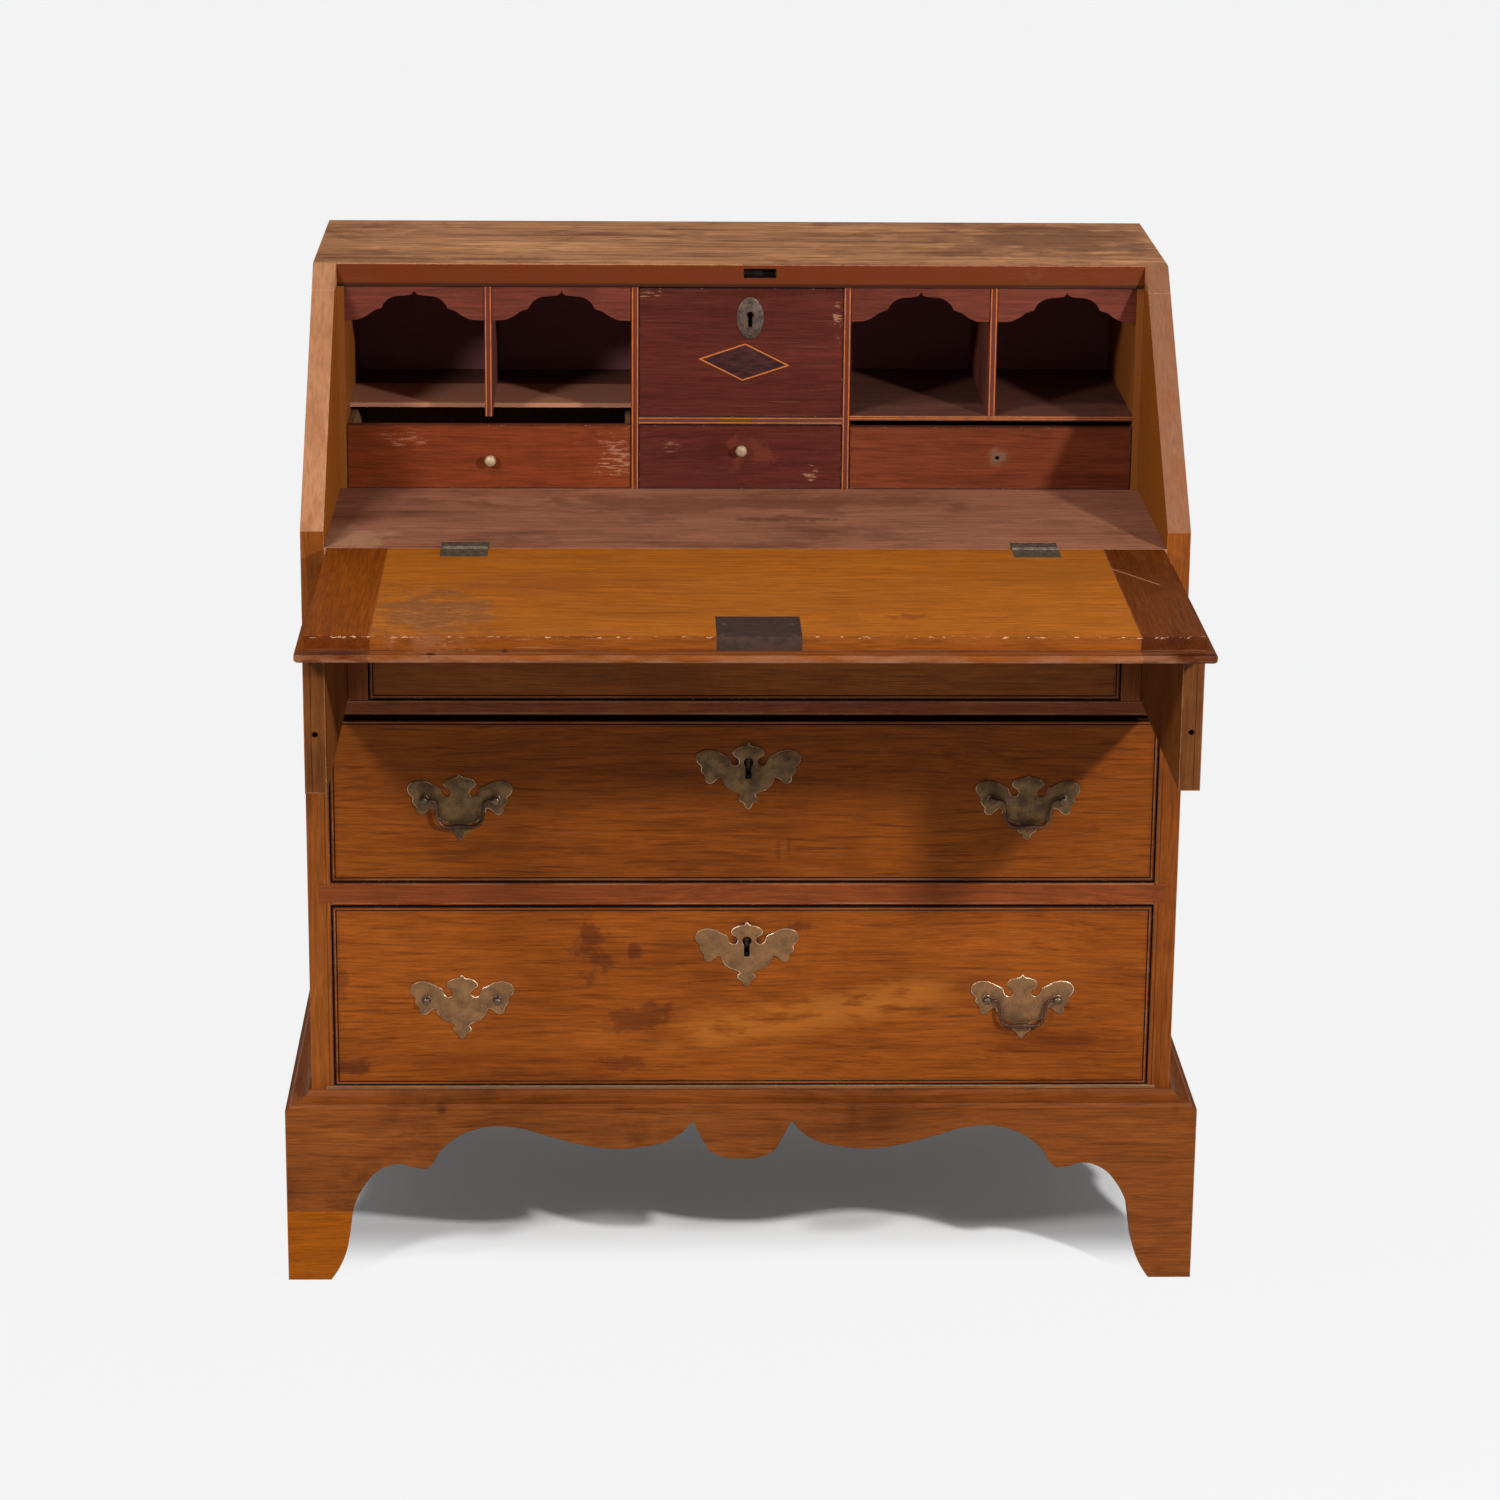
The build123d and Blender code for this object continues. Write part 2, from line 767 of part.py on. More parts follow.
def leaf(middle, direction, length, spans):
    """A hinge leaf with its own knuckles, running forward or back from the pin."""
    low = desk_height - leaf_sink - leaf_thick
    high = desk_height - leaf_sink
    near = direction * axis_gap
    far = direction * length
    left = middle - hinge_width / 2
    solid = board(left, left + hinge_width, min(near, far), max(near, far), low, high)
    for start, end in spans:
        solid += board(start, end, min(0, near), max(0, near), low, high)
        solid += pin_along_x(start, end, 0, desk_height, knuckle_radius)
    return solid - bore_along_x(left, left + hinge_width, 0, desk_height, hinge_pin_radius + pin_clearance)


def case_hinge_leaves():
    """The leaves on the writing board, with two knuckles each."""
    leaves = []
    for middle in (hinge_left_x, hinge_right_x):
        spans = knuckle_spans(middle)
        leaves.append(leaf(middle, 1, case_leaf_length, [spans[0], spans[2]]))
    return group(leaves)


def lid_hinge_leaves():
    """The leaves on the lid, with one knuckle each."""
    leaves = []
    for middle in (hinge_left_x, hinge_right_x):
        leaves.append(leaf(middle, -1, lid_leaf_length, [knuckle_spans(middle)[1]]))
    return group(leaves)


def hinge_pins():
    """The pins through the knuckles."""
    pins = []
    for middle in (hinge_left_x, hinge_right_x):
        left = middle - hinge_width / 2
        pins.append(pin_along_x(left, left + hinge_width, 0, desk_height, hinge_pin_radius))
    return group(pins)


# Lid supports
def loper(direction, out):
    """A lid support pulled out of its slot, with the peg hole in its front end."""
    middle = direction * (half_inside - loper_slot / 2)
    left = middle - loper_thick / 2
    low = rail_upper_high + fit_gap
    high = writing_underside - fit_gap
    solid = board(left, left + loper_thick, -out, loper_length - out, low, high)
    return solid - rod_along_y(middle, -out, peg_hole_deep - out, peg_hole_height, peg_hole_radius)


# Drawers
def tails(low, high, count, y_end, y_start):
    """Dovetail outlines at one end of a drawer side, wide at y_end and narrow at y_start."""
    pitch = (high - low) / count
    outlines = []
    for number in range(count):
        middle = low + (number + 1 / 2) * pitch
        wide = pitch * tail_wide_share / 2
        narrow = pitch * tail_narrow_share / 2
        outlines.append([
            (y_start, middle - narrow),
            (y_end, middle - wide),
            (y_end, middle + wide),
            (y_start, middle + narrow),
        ])
    return outlines


def drawer_parts(left, right, front, rear, low, high, sizes, count):
    """Front, sides, back and bottom of a dovetailed drawer whose sides stand on low."""
    front_thick, side_thickness, back_thickness, bottom_thick, raised, tongue, lap, drop, lift = sizes
    front_board = board(left, right, front, front + front_thick, low + lift, high)
    side_low = low
    side_high = high - drop
    side_front = front + front_thick
    side_rear = rear - back_thickness
    side = board(left, left + side_thickness, side_front, side_rear, side_low, side_high)
    tail_low = side_low + raised + bottom_thick
    for outline in tails(tail_low, side_high, count, front + lap, side_front):
        side += cut_from_side(outline, left, left + side_thickness)
    for outline in tails(tail_low, side_high, count, rear, side_rear):
        side += cut_from_side(outline, left, left + side_thickness)
    middle = (left + right) / 2
    far_side = mirror(side, about=Plane(origin=(middle, 0, 0), z_dir=(1, 0, 0)))
    bottom_low = low + raised
    bottom_high = bottom_low + bottom_thick
    bottom_left = left + side_thickness - tongue
    bottom_right = right - side_thickness + tongue
    bottom = board(bottom_left, bottom_right, side_front - tongue, rear, bottom_low, bottom_high)
    side -= bottom
    far_side -= bottom
    back = board(left, right, side_rear, rear, bottom_high, side_high) - side - far_side
    front_board -= side
    front_board -= far_side
    front_board -= bottom
    return front_board, group([side, far_side, back, bottom])


def keyhole(middle, height, y_low, y_high):
    """A keyhole: a round hole over a narrow slot."""
    round_part = rod_along_y(middle, y_low, y_high, height, keyhole_radius)
    left = middle - keyhole_slot_width / 2
    slot = board(left, left + keyhole_slot_width, y_low, y_high, height - keyhole_slot_drop, height)
    return round_part + slot


def bead_groove(left, right, low, high):
    """The groove that marks off the bead round a drawer front's face."""
    outer_low = low + bead_width
    outer_high = high - bead_width
    inset = bead_width + bead_groove_width
    outer = board(left + bead_width, right - bead_width, 0, bead_groove_deep, outer_low, outer_high)
    return outer - board(left + inset, right - inset, 0, bead_groove_deep, low + inset, high - inset)


def drawer_lock(lock_height, high):
    """The lock's works, let into the back of a drawer front up to its top edge."""
    low = lock_height - drawer_lock_below
    near = drawer_front_thick - drawer_lock_thick
    return board(lock_x - drawer_lock_half, lock_x + drawer_lock_half, near, drawer_front_thick, low, high)


def large_drawer(low, high, half_width, tail_count, post_height, lock_height):
    """Front and box of a large drawer, bored for its brasses and cut out for its lock."""
    sizes = (
        drawer_front_thick,
        drawer_side_thick,
        drawer_back_thick,
        drawer_bottom_thick,
        drawer_bottom_raise,
        drawer_bottom_tongue,
        drawer_lap,
        drawer_side_drop,
        drawer_front_lift,
    )
    front, box = drawer_parts(-half_width, half_width, 0, drawer_length, low, high, sizes, tail_count)
    for x in post_places():
        front -= bar_along_y(x, 0, drawer_front_thick, post_height, post_shank_half + fit_gap)
    front -= keyhole(lock_x, lock_height, 0, drawer_front_thick)
    front -= drawer_lock(lock_height, high)
    front -= bead_groove(-half_width, half_width, low + drawer_front_lift, high)
    return front, box


def small_drawer(left, right, low, high, tail_count):
    """Front and box of a small drawer in the gallery."""
    sizes = (
        small_front_thick,
        small_side_thick,
        small_back_thick,
        small_bottom_thick,
        small_bottom_raise,
        small_bottom_tongue,
        small_lap,
        small_side_drop,
        small_front_lift,
    )
    rear = back_front - small_back_room
    return drawer_parts(left, right, gallery_front, rear, low, high, sizes, tail_count)


# Brasses
def post_places():
    """The x places of the four posts of a large drawer."""
    return [middle + step for middle in (-pull_x, pull_x) for step in (-post_half_space, post_half_space)]


def brass_plate(middle, height):
    """A saw-cut flat brass plate with its post line at the given height."""
    right = [(plate_half_width * x, plate_half_width * z) for x, z in plate_half_shares]
    left = [(-x, z) for x, z in right[-2:0:-1]]
    return Pos(middle, 0, height) * cut_from_front(face_through(right + left), -plate_thick, 0)


def pull_plates(height):
    """Two pull plates, bored for their posts."""
    plates = []
    for middle in (-pull_x, pull_x):
        plate = brass_plate(middle, height)
        for x in (middle - post_half_space, middle + post_half_space):
            plate -= bar_along_y(x, -plate_thick, 0, height, post_shank_half + fit_gap)
        plates.append(plate)
    return group(plates)


def lock_plate(height, high):
    """A keyhole plate with the same outline as the pull plates, and the lock's works behind it."""
    plate = brass_plate(lock_x, height - keyhole_plate_drop)
    near = drawer_front_thick - drawer_lock_thick
    works = drawer_lock(height, high) - keyhole(lock_x, height, near, near + drawer_lock_hole_deep)
    return group([plate - keyhole(lock_x, height, -plate_thick, 0), works])


def post(x, height):
    """A post: a many-sided head with the eye for the bail, a square shank, a nut behind."""
    back = drawer_front_thick + post_nut_thick
    shank = bar_along_y(x, -plate_thick, back, height, post_shank_half)
    flat = RegularPolygon(post_head_radius, round_side_count)
    head = cut_from_front(flat, -plate_thick - post_head_length, -plate_thick)
    head = chamfer(head.faces().sort_by(Axis.Y)[0].edges(), length=post_dome)
    nut = bar_along_y(x, drawer_front_thick, back, height, post_nut_half)
    left = x - post_head_radius - bail_start_gap
    right = x + post_head_radius + bail_start_gap
    eye = bore_along_x(left, right, -eye_reach, height, bail_pin_radius + pin_clearance)
    return shank + Pos(x, 0, height) * head + nut - eye


def posts(height):
    """The four posts of a large drawer."""
    return group([post(x, height) for x in post_places()])


def bail(middle, height):
    """A swinging bail handle whose ends turn outward into the posts' eyes."""
    start = post_half_space - post_head_radius - bail_start_gap
    right = [(start * (1 - x), -bail_drop * z) for x, z in bail_half_shares]
    left = [(-x, z) for x, z in reversed(right)]
    path = Polyline(*[(x, -eye_reach, z) for x, z in right + left])
    section = Plane(origin=path @ 0, z_dir=path % 0) * RegularPolygon(bail_rod_radius, bail_side_count)
    handle = sweep(section, path=path, transition=Transition.RIGHT)
    for direction in (-1, 1):
        near = direction * (start - bail_rod_radius)
        far = direction * (post_half_space + post_head_radius)
        handle += pin_along_x(min(near, far), max(near, far), -eye_reach, 0, bail_pin_radius)
    return Pos(middle, 0, height) * handle


def knob(x, height):
    """A small turned knob, its rounds drawn with flats, and its shaft through the drawer front."""
    circle = RegularPolygon(knob_radius, knob_side_count)
    head = cut_from_front(circle, -knob_length, knob_head_length - knob_length)
    head = chamfer(head.faces().sort_by(Axis.Y)[0].edges(), length=knob_round)
    head = chamfer(head.faces().sort_by(Axis.Y)[-1].edges(), length=knob_round)
    neck = cut_from_front(RegularPolygon(knob_neck_radius, knob_side_count), knob_head_length - knob_length, 0)
    shaft = rod_along_y(0, 0, small_front_thick, 0, knob_shaft_radius)
    return Pos(x, gallery_front, height) * (head + neck + shaft)


def knob_hole(x, height):
    """The hole through a small drawer front for a knob's shaft."""
    back = gallery_front + small_front_thick
    return rod_along_y(x, gallery_front, back, height, knob_shaft_radius + fit_gap)


def oval_plate():
    """The oval keyhole plate of the middle compartment."""
    points = []
    for number in range(oval_side_count):
        angle = 2 * math.pi * number / oval_side_count
        points.append((oval_half_width * math.sin(angle), oval_half_height * math.cos(angle)))
    near = gallery_front - oval_thick
    plate = Pos(oval_off, 0, oval_height) * cut_from_front(face_through(points), near, gallery_front)
    return plate - keyhole(oval_off, oval_height + keyhole_radius, near, gallery_front)


# Gallery
def gallery_uprights():
    """End boards, partitions and pigeonhole dividers."""
    near = gallery_front
    far = back_front
    end = board(gallery_inner, half_inside, near, far, desk_height, top_underside)
    partition = board(partition_inner, partition_outer, near, far, desk_height, top_underside)
    right = board(pigeon_divider_inner, pigeon_divider_outer, near, far, right_shelf_high, top_underside)
    left = board(-pigeon_divider_outer, -pigeon_divider_inner, near, far, left_shelf_high, top_underside)
    return group([end, other_side(end), partition, other_side(partition), right, left])


def gallery_shelves():
    """The set-back left shelf, the right shelf and the rail between the middle drawers."""
    near = gallery_front
    left_near = near + left_shelf_set_back
    far = back_front
    left = board(-gallery_inner, -partition_outer, left_near, far, left_shelf_low, left_shelf_high)
    right = board(partition_outer, gallery_inner, near, far, right_shelf_low, right_shelf_high)
    centre = board(-partition_inner, partition_inner, near, far, centre_shelf_low, centre_shelf_high)
    return group([left, right, centre])


def valance(low_x, high_x):
    """A scrolled board across the top of one pigeonhole."""
    half = (high_x - low_x) / 2
    middle = (high_x + low_x) / 2
    runs = scaled_runs(valance_half_shares, -half, half, valance_low, valance_apex - valance_low)
    runs = runs + mirrored_runs(runs)
    runs.append([(half, valance_low), (half, top_underside)])
    runs.append([(half, top_underside), (-half, top_underside)])
    runs.append([(-half, top_underside), (-half, valance_low)])
    near = gallery_front + valance_back_set
    return Pos(middle, 0, 0) * cut_from_front(face_of(run_edges(runs)), near, near + valance_thick)


def valances():
    """The four valances."""
    inner = valance(partition_outer, pigeon_divider_inner)
    outer = valance(pigeon_divider_outer, gallery_inner)
    return group([inner, outer, other_side(inner), other_side(outer)])


# The whole desk
def write(shape, name):
    """Move a finished piece to its place in the open desk's middle and write it."""
    export_step(Pos(0, front_y, 0) * shape, "parts/" + name + ".step")


def write_case():
    """Write the fixed case and its base."""
    side = case_side()
    write(side, "right_side")
    write(other_side(side), "left_side")
    write(top_board(), "top_board")
    write(writing_board(), "writing_board")
    write(bottom_board(), "bottom_board")
    write(back_boards(), "back_boards")
    write(rail(rail_upper_low, rail_upper_high), "rail_upper")
    write(rail(rail_middle_low, rail_middle_high), "rail_middle")
    write(runners(), "runners")
    write(loper_dividers(), "loper_dividers")
    write(base_front(), "base_front")
    write(base_left(), "base_left")
    write(base_side_whole(), "base_right")
    write(foot_patch(), "foot_patch")
    write(rear_brackets(), "rear_brackets")
    write(glue_blocks(), "glue_blocks")


def write_lid():
    """Write the lid, its hinges and its supports."""
    write(lid_field(), "lid_field")
    cleat = lid_cleat()
    write(cleat, "lid_cleat_right")
    write(other_side(cleat), "lid_cleat_left")
    write(lid_lock(), "lid_lock")
    write(lid_hinge_leaves(), "lid_hinge_leaves")
    write(case_hinge_leaves(), "case_hinge_leaves")
    write(hinge_pins(), "hinge_pins")
    write(loper(-1, loper_left_out), "loper_left")
    write(loper(1, loper_right_out), "loper_right")


def write_large_drawer(name, floor, opening, top_gap, half_width, tail_count, post_share, lock_share):
    """Write one large drawer with its plates, posts and lock."""
    low = floor + fit_gap
    high = floor + opening - top_gap
    post_height = floor + opening * post_share
    lock_height = floor + opening * lock_share
    front, box = large_drawer(low, high, half_width, tail_count, post_height, lock_height)
    write(front, name + "_drawer_front")
    write(box, name + "_drawer_box")
    write(pull_plates(post_height), name + "_pull_plates")
    write(posts(post_height), name + "_posts")
    write(lock_plate(lock_height, high), name + "_lock_plate")
    write(bail(pull_x, post_height), name + "_bail_right")
    if name != "lower":
        write(bail(-pull_x, post_height), name + "_bail_left")


def write_large_drawers():
    """Write the three large drawers; the lower one has lost its left bail."""
    narrow = divider_inner - drawer_gap
    wide = half_inside - drawer_gap
    write_large_drawer(
        "top", rail_upper_high, top_opening, top_front_gap, narrow,
        top_tail_count, top_post_share, top_lock_share,
    )
    write_large_drawer(
        "upper", rail_middle_high, upper_opening, upper_front_gap, wide,
        upper_tail_count, upper_post_share, upper_lock_share,
    )
    write_large_drawer(
        "lower", bottom_top, lower_opening, lower_front_gap, wide,
        lower_tail_count, lower_post_share, lower_lock_share,
    )


def write_left_small_drawer():
    """Write the left small drawer with its knob."""
    low = desk_height + small_floor_gap
    high = left_shelf_low - left_drawer_gap
    left = -gallery_inner + small_gap
    right = -partition_outer - small_gap
    front, box = small_drawer(left, right, low, high, small_tail_count)
    x = -bay_middle + left_knob_off
    height = desk_height + (high - desk_height) * left_knob_share
    write(front - knob_hole(x, height), "left_small_front")
    write(box, "left_small_box")
    write(knob(x, height), "left_knob")


def write_right_small_drawer():
    """Write the right small drawer, whose knob is missing."""
    low = desk_height + small_floor_gap
    high = right_shelf_low - right_drawer_gap
    left = partition_outer + small_gap
    right = gallery_inner - small_gap
    front, box = small_drawer(left, right, low, high, small_tail_count)
    x = bay_middle + missing_knob_off
    height = desk_height + (high - desk_height) * missing_knob_share
    write(front - knob_hole(x, height), "right_small_front")
    write(box, "right_small_box")


def write_middle_drawers():
    """Write the small drawer in the middle and the tall one above it."""
    half = partition_inner - small_gap
    low = desk_height + small_floor_gap
    high = centre_shelf_low - centre_drawer_gap
    front, box = small_drawer(-half, half, low, high, small_tail_count)
    height = desk_height + (high - desk_height) * centre_knob_share
    write(front - knob_hole(centre_knob_off, height), "centre_small_front")
    write(box, "centre_small_box")
    write(knob(centre_knob_off, height), "centre_knob")
    low = centre_shelf_high + small_floor_gap
    front, box = small_drawer(-half, half, low, prospect_high, prospect_tail_count)
    back = gallery_front + small_front_thick
    front -= keyhole(oval_off, oval_height + keyhole_radius, gallery_front, back)
    write(front, "prospect_front")
    write(box, "prospect_box")
    write(oval_plate(), "prospect_escutcheon")


def write_gallery():
    """Write the gallery with its small drawers."""
    write(gallery_uprights(), "gallery_uprights")
    write(gallery_shelves(), "gallery_shelves")
    write(valances(), "valances")
    write_left_small_drawer()
    write_right_small_drawer()
    write_middle_drawers()


def write_desk():
    """Write every piece of the desk."""
    os.makedirs("parts", exist_ok=True)
    write_case()
    write_lid()
    write_large_drawers()
    write_gallery()


write_desk()
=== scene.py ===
import math
import bpy
import numpy as np
from mathutils import Matrix, Vector
from mathutils.geometry import tessellate_polygon


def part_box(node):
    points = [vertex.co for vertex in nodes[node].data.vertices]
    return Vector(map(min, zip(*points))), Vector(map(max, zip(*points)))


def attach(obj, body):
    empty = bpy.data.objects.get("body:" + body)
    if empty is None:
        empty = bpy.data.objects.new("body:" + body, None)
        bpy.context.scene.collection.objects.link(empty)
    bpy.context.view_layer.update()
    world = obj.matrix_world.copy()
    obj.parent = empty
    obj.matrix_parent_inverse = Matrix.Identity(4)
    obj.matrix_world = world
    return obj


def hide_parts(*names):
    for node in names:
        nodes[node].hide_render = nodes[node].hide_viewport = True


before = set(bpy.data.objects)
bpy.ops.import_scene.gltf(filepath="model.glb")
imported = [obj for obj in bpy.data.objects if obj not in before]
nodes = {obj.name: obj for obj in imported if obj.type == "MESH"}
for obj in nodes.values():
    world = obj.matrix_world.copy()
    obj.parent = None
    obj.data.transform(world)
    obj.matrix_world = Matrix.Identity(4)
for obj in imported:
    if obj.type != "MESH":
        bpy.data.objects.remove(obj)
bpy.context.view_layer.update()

# Places read from the CAD, in metres
mm = 0.001
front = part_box("upper_drawer_front")[0].y
desk_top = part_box("lid_field")[1].z
gallery_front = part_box("prospect_front")[0].y

# Faces of the CAD and marks on them, in millimetres of the case, and the slant of the sides
side_face = 433.0
slant_foot = 818.153
slant_slope = math.radians(41)
top_face = 263.26
lid_step = -342.3
lozenge_middle = (3.2, 939.9)
figure_middle = (70, 292)
keyhole_shadow_rise = 46


def place_of(x, y, z):
    """A point in millimetres of the case: x from the middle, y from its front, z from the floor."""
    return (x * mm, front + y * mm, z * mm)


def middle_of(node):
    """The middle of a node's box."""
    low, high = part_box(node)
    return (low + high) / 2


# Placing shader nodes
class Bench:
    """The shader tree in hand: the helpers add their nodes to it."""
    tree = None


def feed(inputs, feeds):
    """Feeds sockets with other sockets or with plain values."""
    for key, value in feeds.items():
        if isinstance(value, bpy.types.NodeSocket):
            Bench.tree.links.new(value, inputs[key])
        else:
            inputs[key].default_value = value


def put(kind, feeds, **settings):
    """Adds a shader node with its settings, feeds its inputs and gives its outputs."""
    made = Bench.tree.nodes.new(kind)
    for name, value in settings.items():
        setattr(made, name, value)
    feed(made.inputs, feeds)
    return made.outputs


def sums(operation, first, second=0.0, third=0.0):
    """One Math node; gives its output."""
    return put("ShaderNodeMath", {0: first, 1: second, 2: third}, operation=operation)[0]


def minus(first, second):
    """The difference of two values."""
    return sums("SUBTRACT", first, second)


def unsigned(value):
    """A value without its sign."""
    return sums("ABSOLUTE", value)


def tally(value, *parts):
    """A value with weighted masks added to it."""
    for mask, weight in parts:
        value = sums("MULTIPLY_ADD", mask, weight, value)
    return value


def both(*masks):
    """Masks or values multiplied together."""
    whole = masks[0]
    for mask in masks[1:]:
        whole = sums("MULTIPLY", whole, mask)
    return whole


def most(*masks):
    """The largest of some masks."""
    whole = masks[0]
    for mask in masks[1:]:
        whole = sums("MAXIMUM", whole, mask)
    return whole


def arrows(operation, first, second=(0, 0, 0)):
    """One Vector Math node; gives its vector."""
    return put("ShaderNodeVectorMath", {0: first, 1: second}, operation=operation)[0]


def measure(operation, first, second=(0, 0, 0)):
    """One Vector Math node; gives its number."""
    return put("ShaderNodeVectorMath", {0: first, 1: second}, operation=operation)["Value"]


def blend(share, first, second, how="MIX"):
    """Mixes two colours by a share; gives the colour."""
    feeds = {0: share, 6: first, 7: second}
    return put("ShaderNodeMix", feeds, data_type="RGBA", blend_type=how)[2]


def painted(shade, tone, *masks):
    """A colour with a tone over it where all the masks are 1."""
    return blend(both(*masks), shade, tone)


def tinted(mask, shade, tone):
    """The wood multiplied by a tone where the mask is 1, so that its grain stays."""
    return blend(mask, shade, tone, "MULTIPLY")


def spread(value, low, high, low_out=0.0, high_out=1.0):
    """Maps a value from one range to another, held at the ends."""
    feeds = {0: value, 1: low, 2: high, 3: low_out, 4: high_out}
    return put("ShaderNodeMapRange", feeds, interpolation_type="SMOOTHSTEP")[0]


def turned(vector, place=(0, 0, 0), turn=(0, 0, 0), size=(1, 1, 1)):
    """Moves, turns and stretches a pattern's coordinates."""
    feeds = {"Vector": vector, "Location": place, "Rotation": turn, "Scale": size}
    return put("ShaderNodeMapping", feeds)[0]


def cloud(vector, scale, detail=4.0, rough=0.55, warp=0.0):
    """A noise value."""
    feeds = {"Vector": vector, "Scale": scale, "Detail": detail, "Roughness": rough, "Distortion": warp}
    return put("ShaderNodeTexNoise", feeds)[0]


def stretched(vector, size, detail=4.0, rough=0.55):
    """A noise value whose coordinates are multiplied by a size: the smaller, the longer its pattern."""
    return cloud(turned(vector, size=size), 1.0, detail, rough)


def until(value, low, high):
    """1 where a length is under low, 0 where it is over high, both in millimetres."""
    return spread(value, low * mm, high * mm, 1.0, 0.0)


def beyond(value, low, high):
    """0 where a length is under low, 1 where it is over high, both in millimetres."""
    return spread(value, low * mm, high * mm)


def apart(vector):
    """The three coordinates of a vector."""
    return put("ShaderNodeSeparateXYZ", {0: vector})


def line_mask(value, middle, half_width, soft=0.3):
    """1 where the value is within half a width of the middle, with soft borders."""
    away = unsigned(minus(value, middle))
    return spread(away, half_width * (1 - soft), half_width * (1 + soft), 1.0, 0.0)


def colour(red, green, blue):
    """Linear colour from the eye's 0 to 255 values."""
    def straight(value):
        value = value / 255
        return value / 12.92 if value <= 0.04045 else ((value + 0.055) / 1.055) ** 2.4
    return (straight(red), straight(green), straight(blue), 1.0)


def toned(tone, factor, lift=0.0):
    """A colour made lighter or darker, each part at most 1."""
    return tuple(min(1.0, part * factor + lift) for part in tone[:3]) + (1.0,)


def shaded(tone, factors):
    """A colour with its three parts multiplied, each at most 1."""
    return tuple(min(1.0, part * factor) for part, factor in zip(tone, factors)) + (1.0,)


# Sockets of the groups that aren't plain numbers
socket_kinds = dict.fromkeys(("Vector", "Place", "Reach", "Low", "High"), "Vector")
socket_kinds.update(dict.fromkeys(("Deep", "Body", "Bright", "Color"), "Color"))


def group(name, inputs, outputs):
    """A shader node group, taken in hand; gives its tree, what it is given and what it puts out."""
    Bench.tree = tree = bpy.data.node_groups.new(name, "ShaderNodeTree")
    for way, labels in (("INPUT", inputs), ("OUTPUT", outputs)):
        for label in labels:
            kind = "NodeSocket" + socket_kinds.get(label, "Float")
            tree.interface.new_socket(name=label, in_out=way, socket_type=kind)
    return tree, tree.nodes.new("NodeGroupInput").outputs, tree.nodes.new("NodeGroupOutput").inputs


def placed(made, feeds):
    """Places a group in the tree in hand, feeds it and gives its outputs."""
    return put("ShaderNodeGroup", feeds, node_tree=made)


def new_material(name):
    """An empty material, taken in hand; gives it and its shader's inputs."""
    material = bpy.data.materials.new(name)
    material.use_nodes = True
    Bench.tree = material.node_tree
    return material, Bench.tree.nodes["Principled BSDF"].inputs


# Effects shared by the materials
def make_timber():
    """Sawn wood, x along the grain: slow tones, streaks, fine lines, curl and pores."""
    tree, given, result = group(
        "timber", ["Vector", "Deep", "Body", "Bright", "Figure", "Streaks", "Lines", "Pores", "Curl"],
        ["Color", "Height", "Dull"])
    sway = stretched(given["Vector"], (2.2, 5, 5), 2.0)
    sway = both(minus(sway, 0.5), 0.035)
    shift = put("ShaderNodeCombineXYZ", {1: sway, 2: sway})[0]
    bent = arrows("ADD", given["Vector"], shift)
    slow = stretched(bent, (4, 11, 11), 5.0, 0.6)
    rings = stretched(bent, (3.5, 75, 75), 4.0, 0.6)
    lines = stretched(bent, (13, 270, 270), 3.0, 0.6)
    fibres = stretched(bent, (20, 430, 430), 3.0, 0.7)
    pores = stretched(bent, (45, 1100, 1100), 1.0)
    curl = cloud(turned(bent, turn=(0, 0.5, 0.5), size=(7, 5, 16)), 1.0, 3.0, 0.5)
    tone = tally(0.5, (minus(slow, 0.5), given["Figure"]), (minus(rings, 0.5), given["Streaks"]),
                 (minus(curl, 0.5), given["Curl"]))
    shade = blend(spread(tone, 0.22, 0.52), given["Deep"], given["Body"])
    shade = blend(spread(tone, 0.5, 0.8), shade, given["Bright"])
    scored = both(spread(lines, 0.5, 0.72), given["Lines"])
    shade = painted(shade, given["Deep"], scored, 0.8)
    fine = spread(fibres, 0.3, 0.7, 0.79, 1.19)
    fine = put("ShaderNodeCombineColor", {0: fine, 1: fine, 2: fine})[0]
    shade = blend(1.0, shade, fine, "MULTIPLY")
    pits = both(spread(pores, 0.6, 0.7), given["Pores"])
    shade = painted(shade, given["Deep"], pits, 0.6)
    height = tally(both(fibres, 0.5), (scored, -0.5), (pits, -0.7))
    feed(result, {"Color": shade, "Height": height, "Dull": spread(rings, 0.3, 0.7)})
    return tree


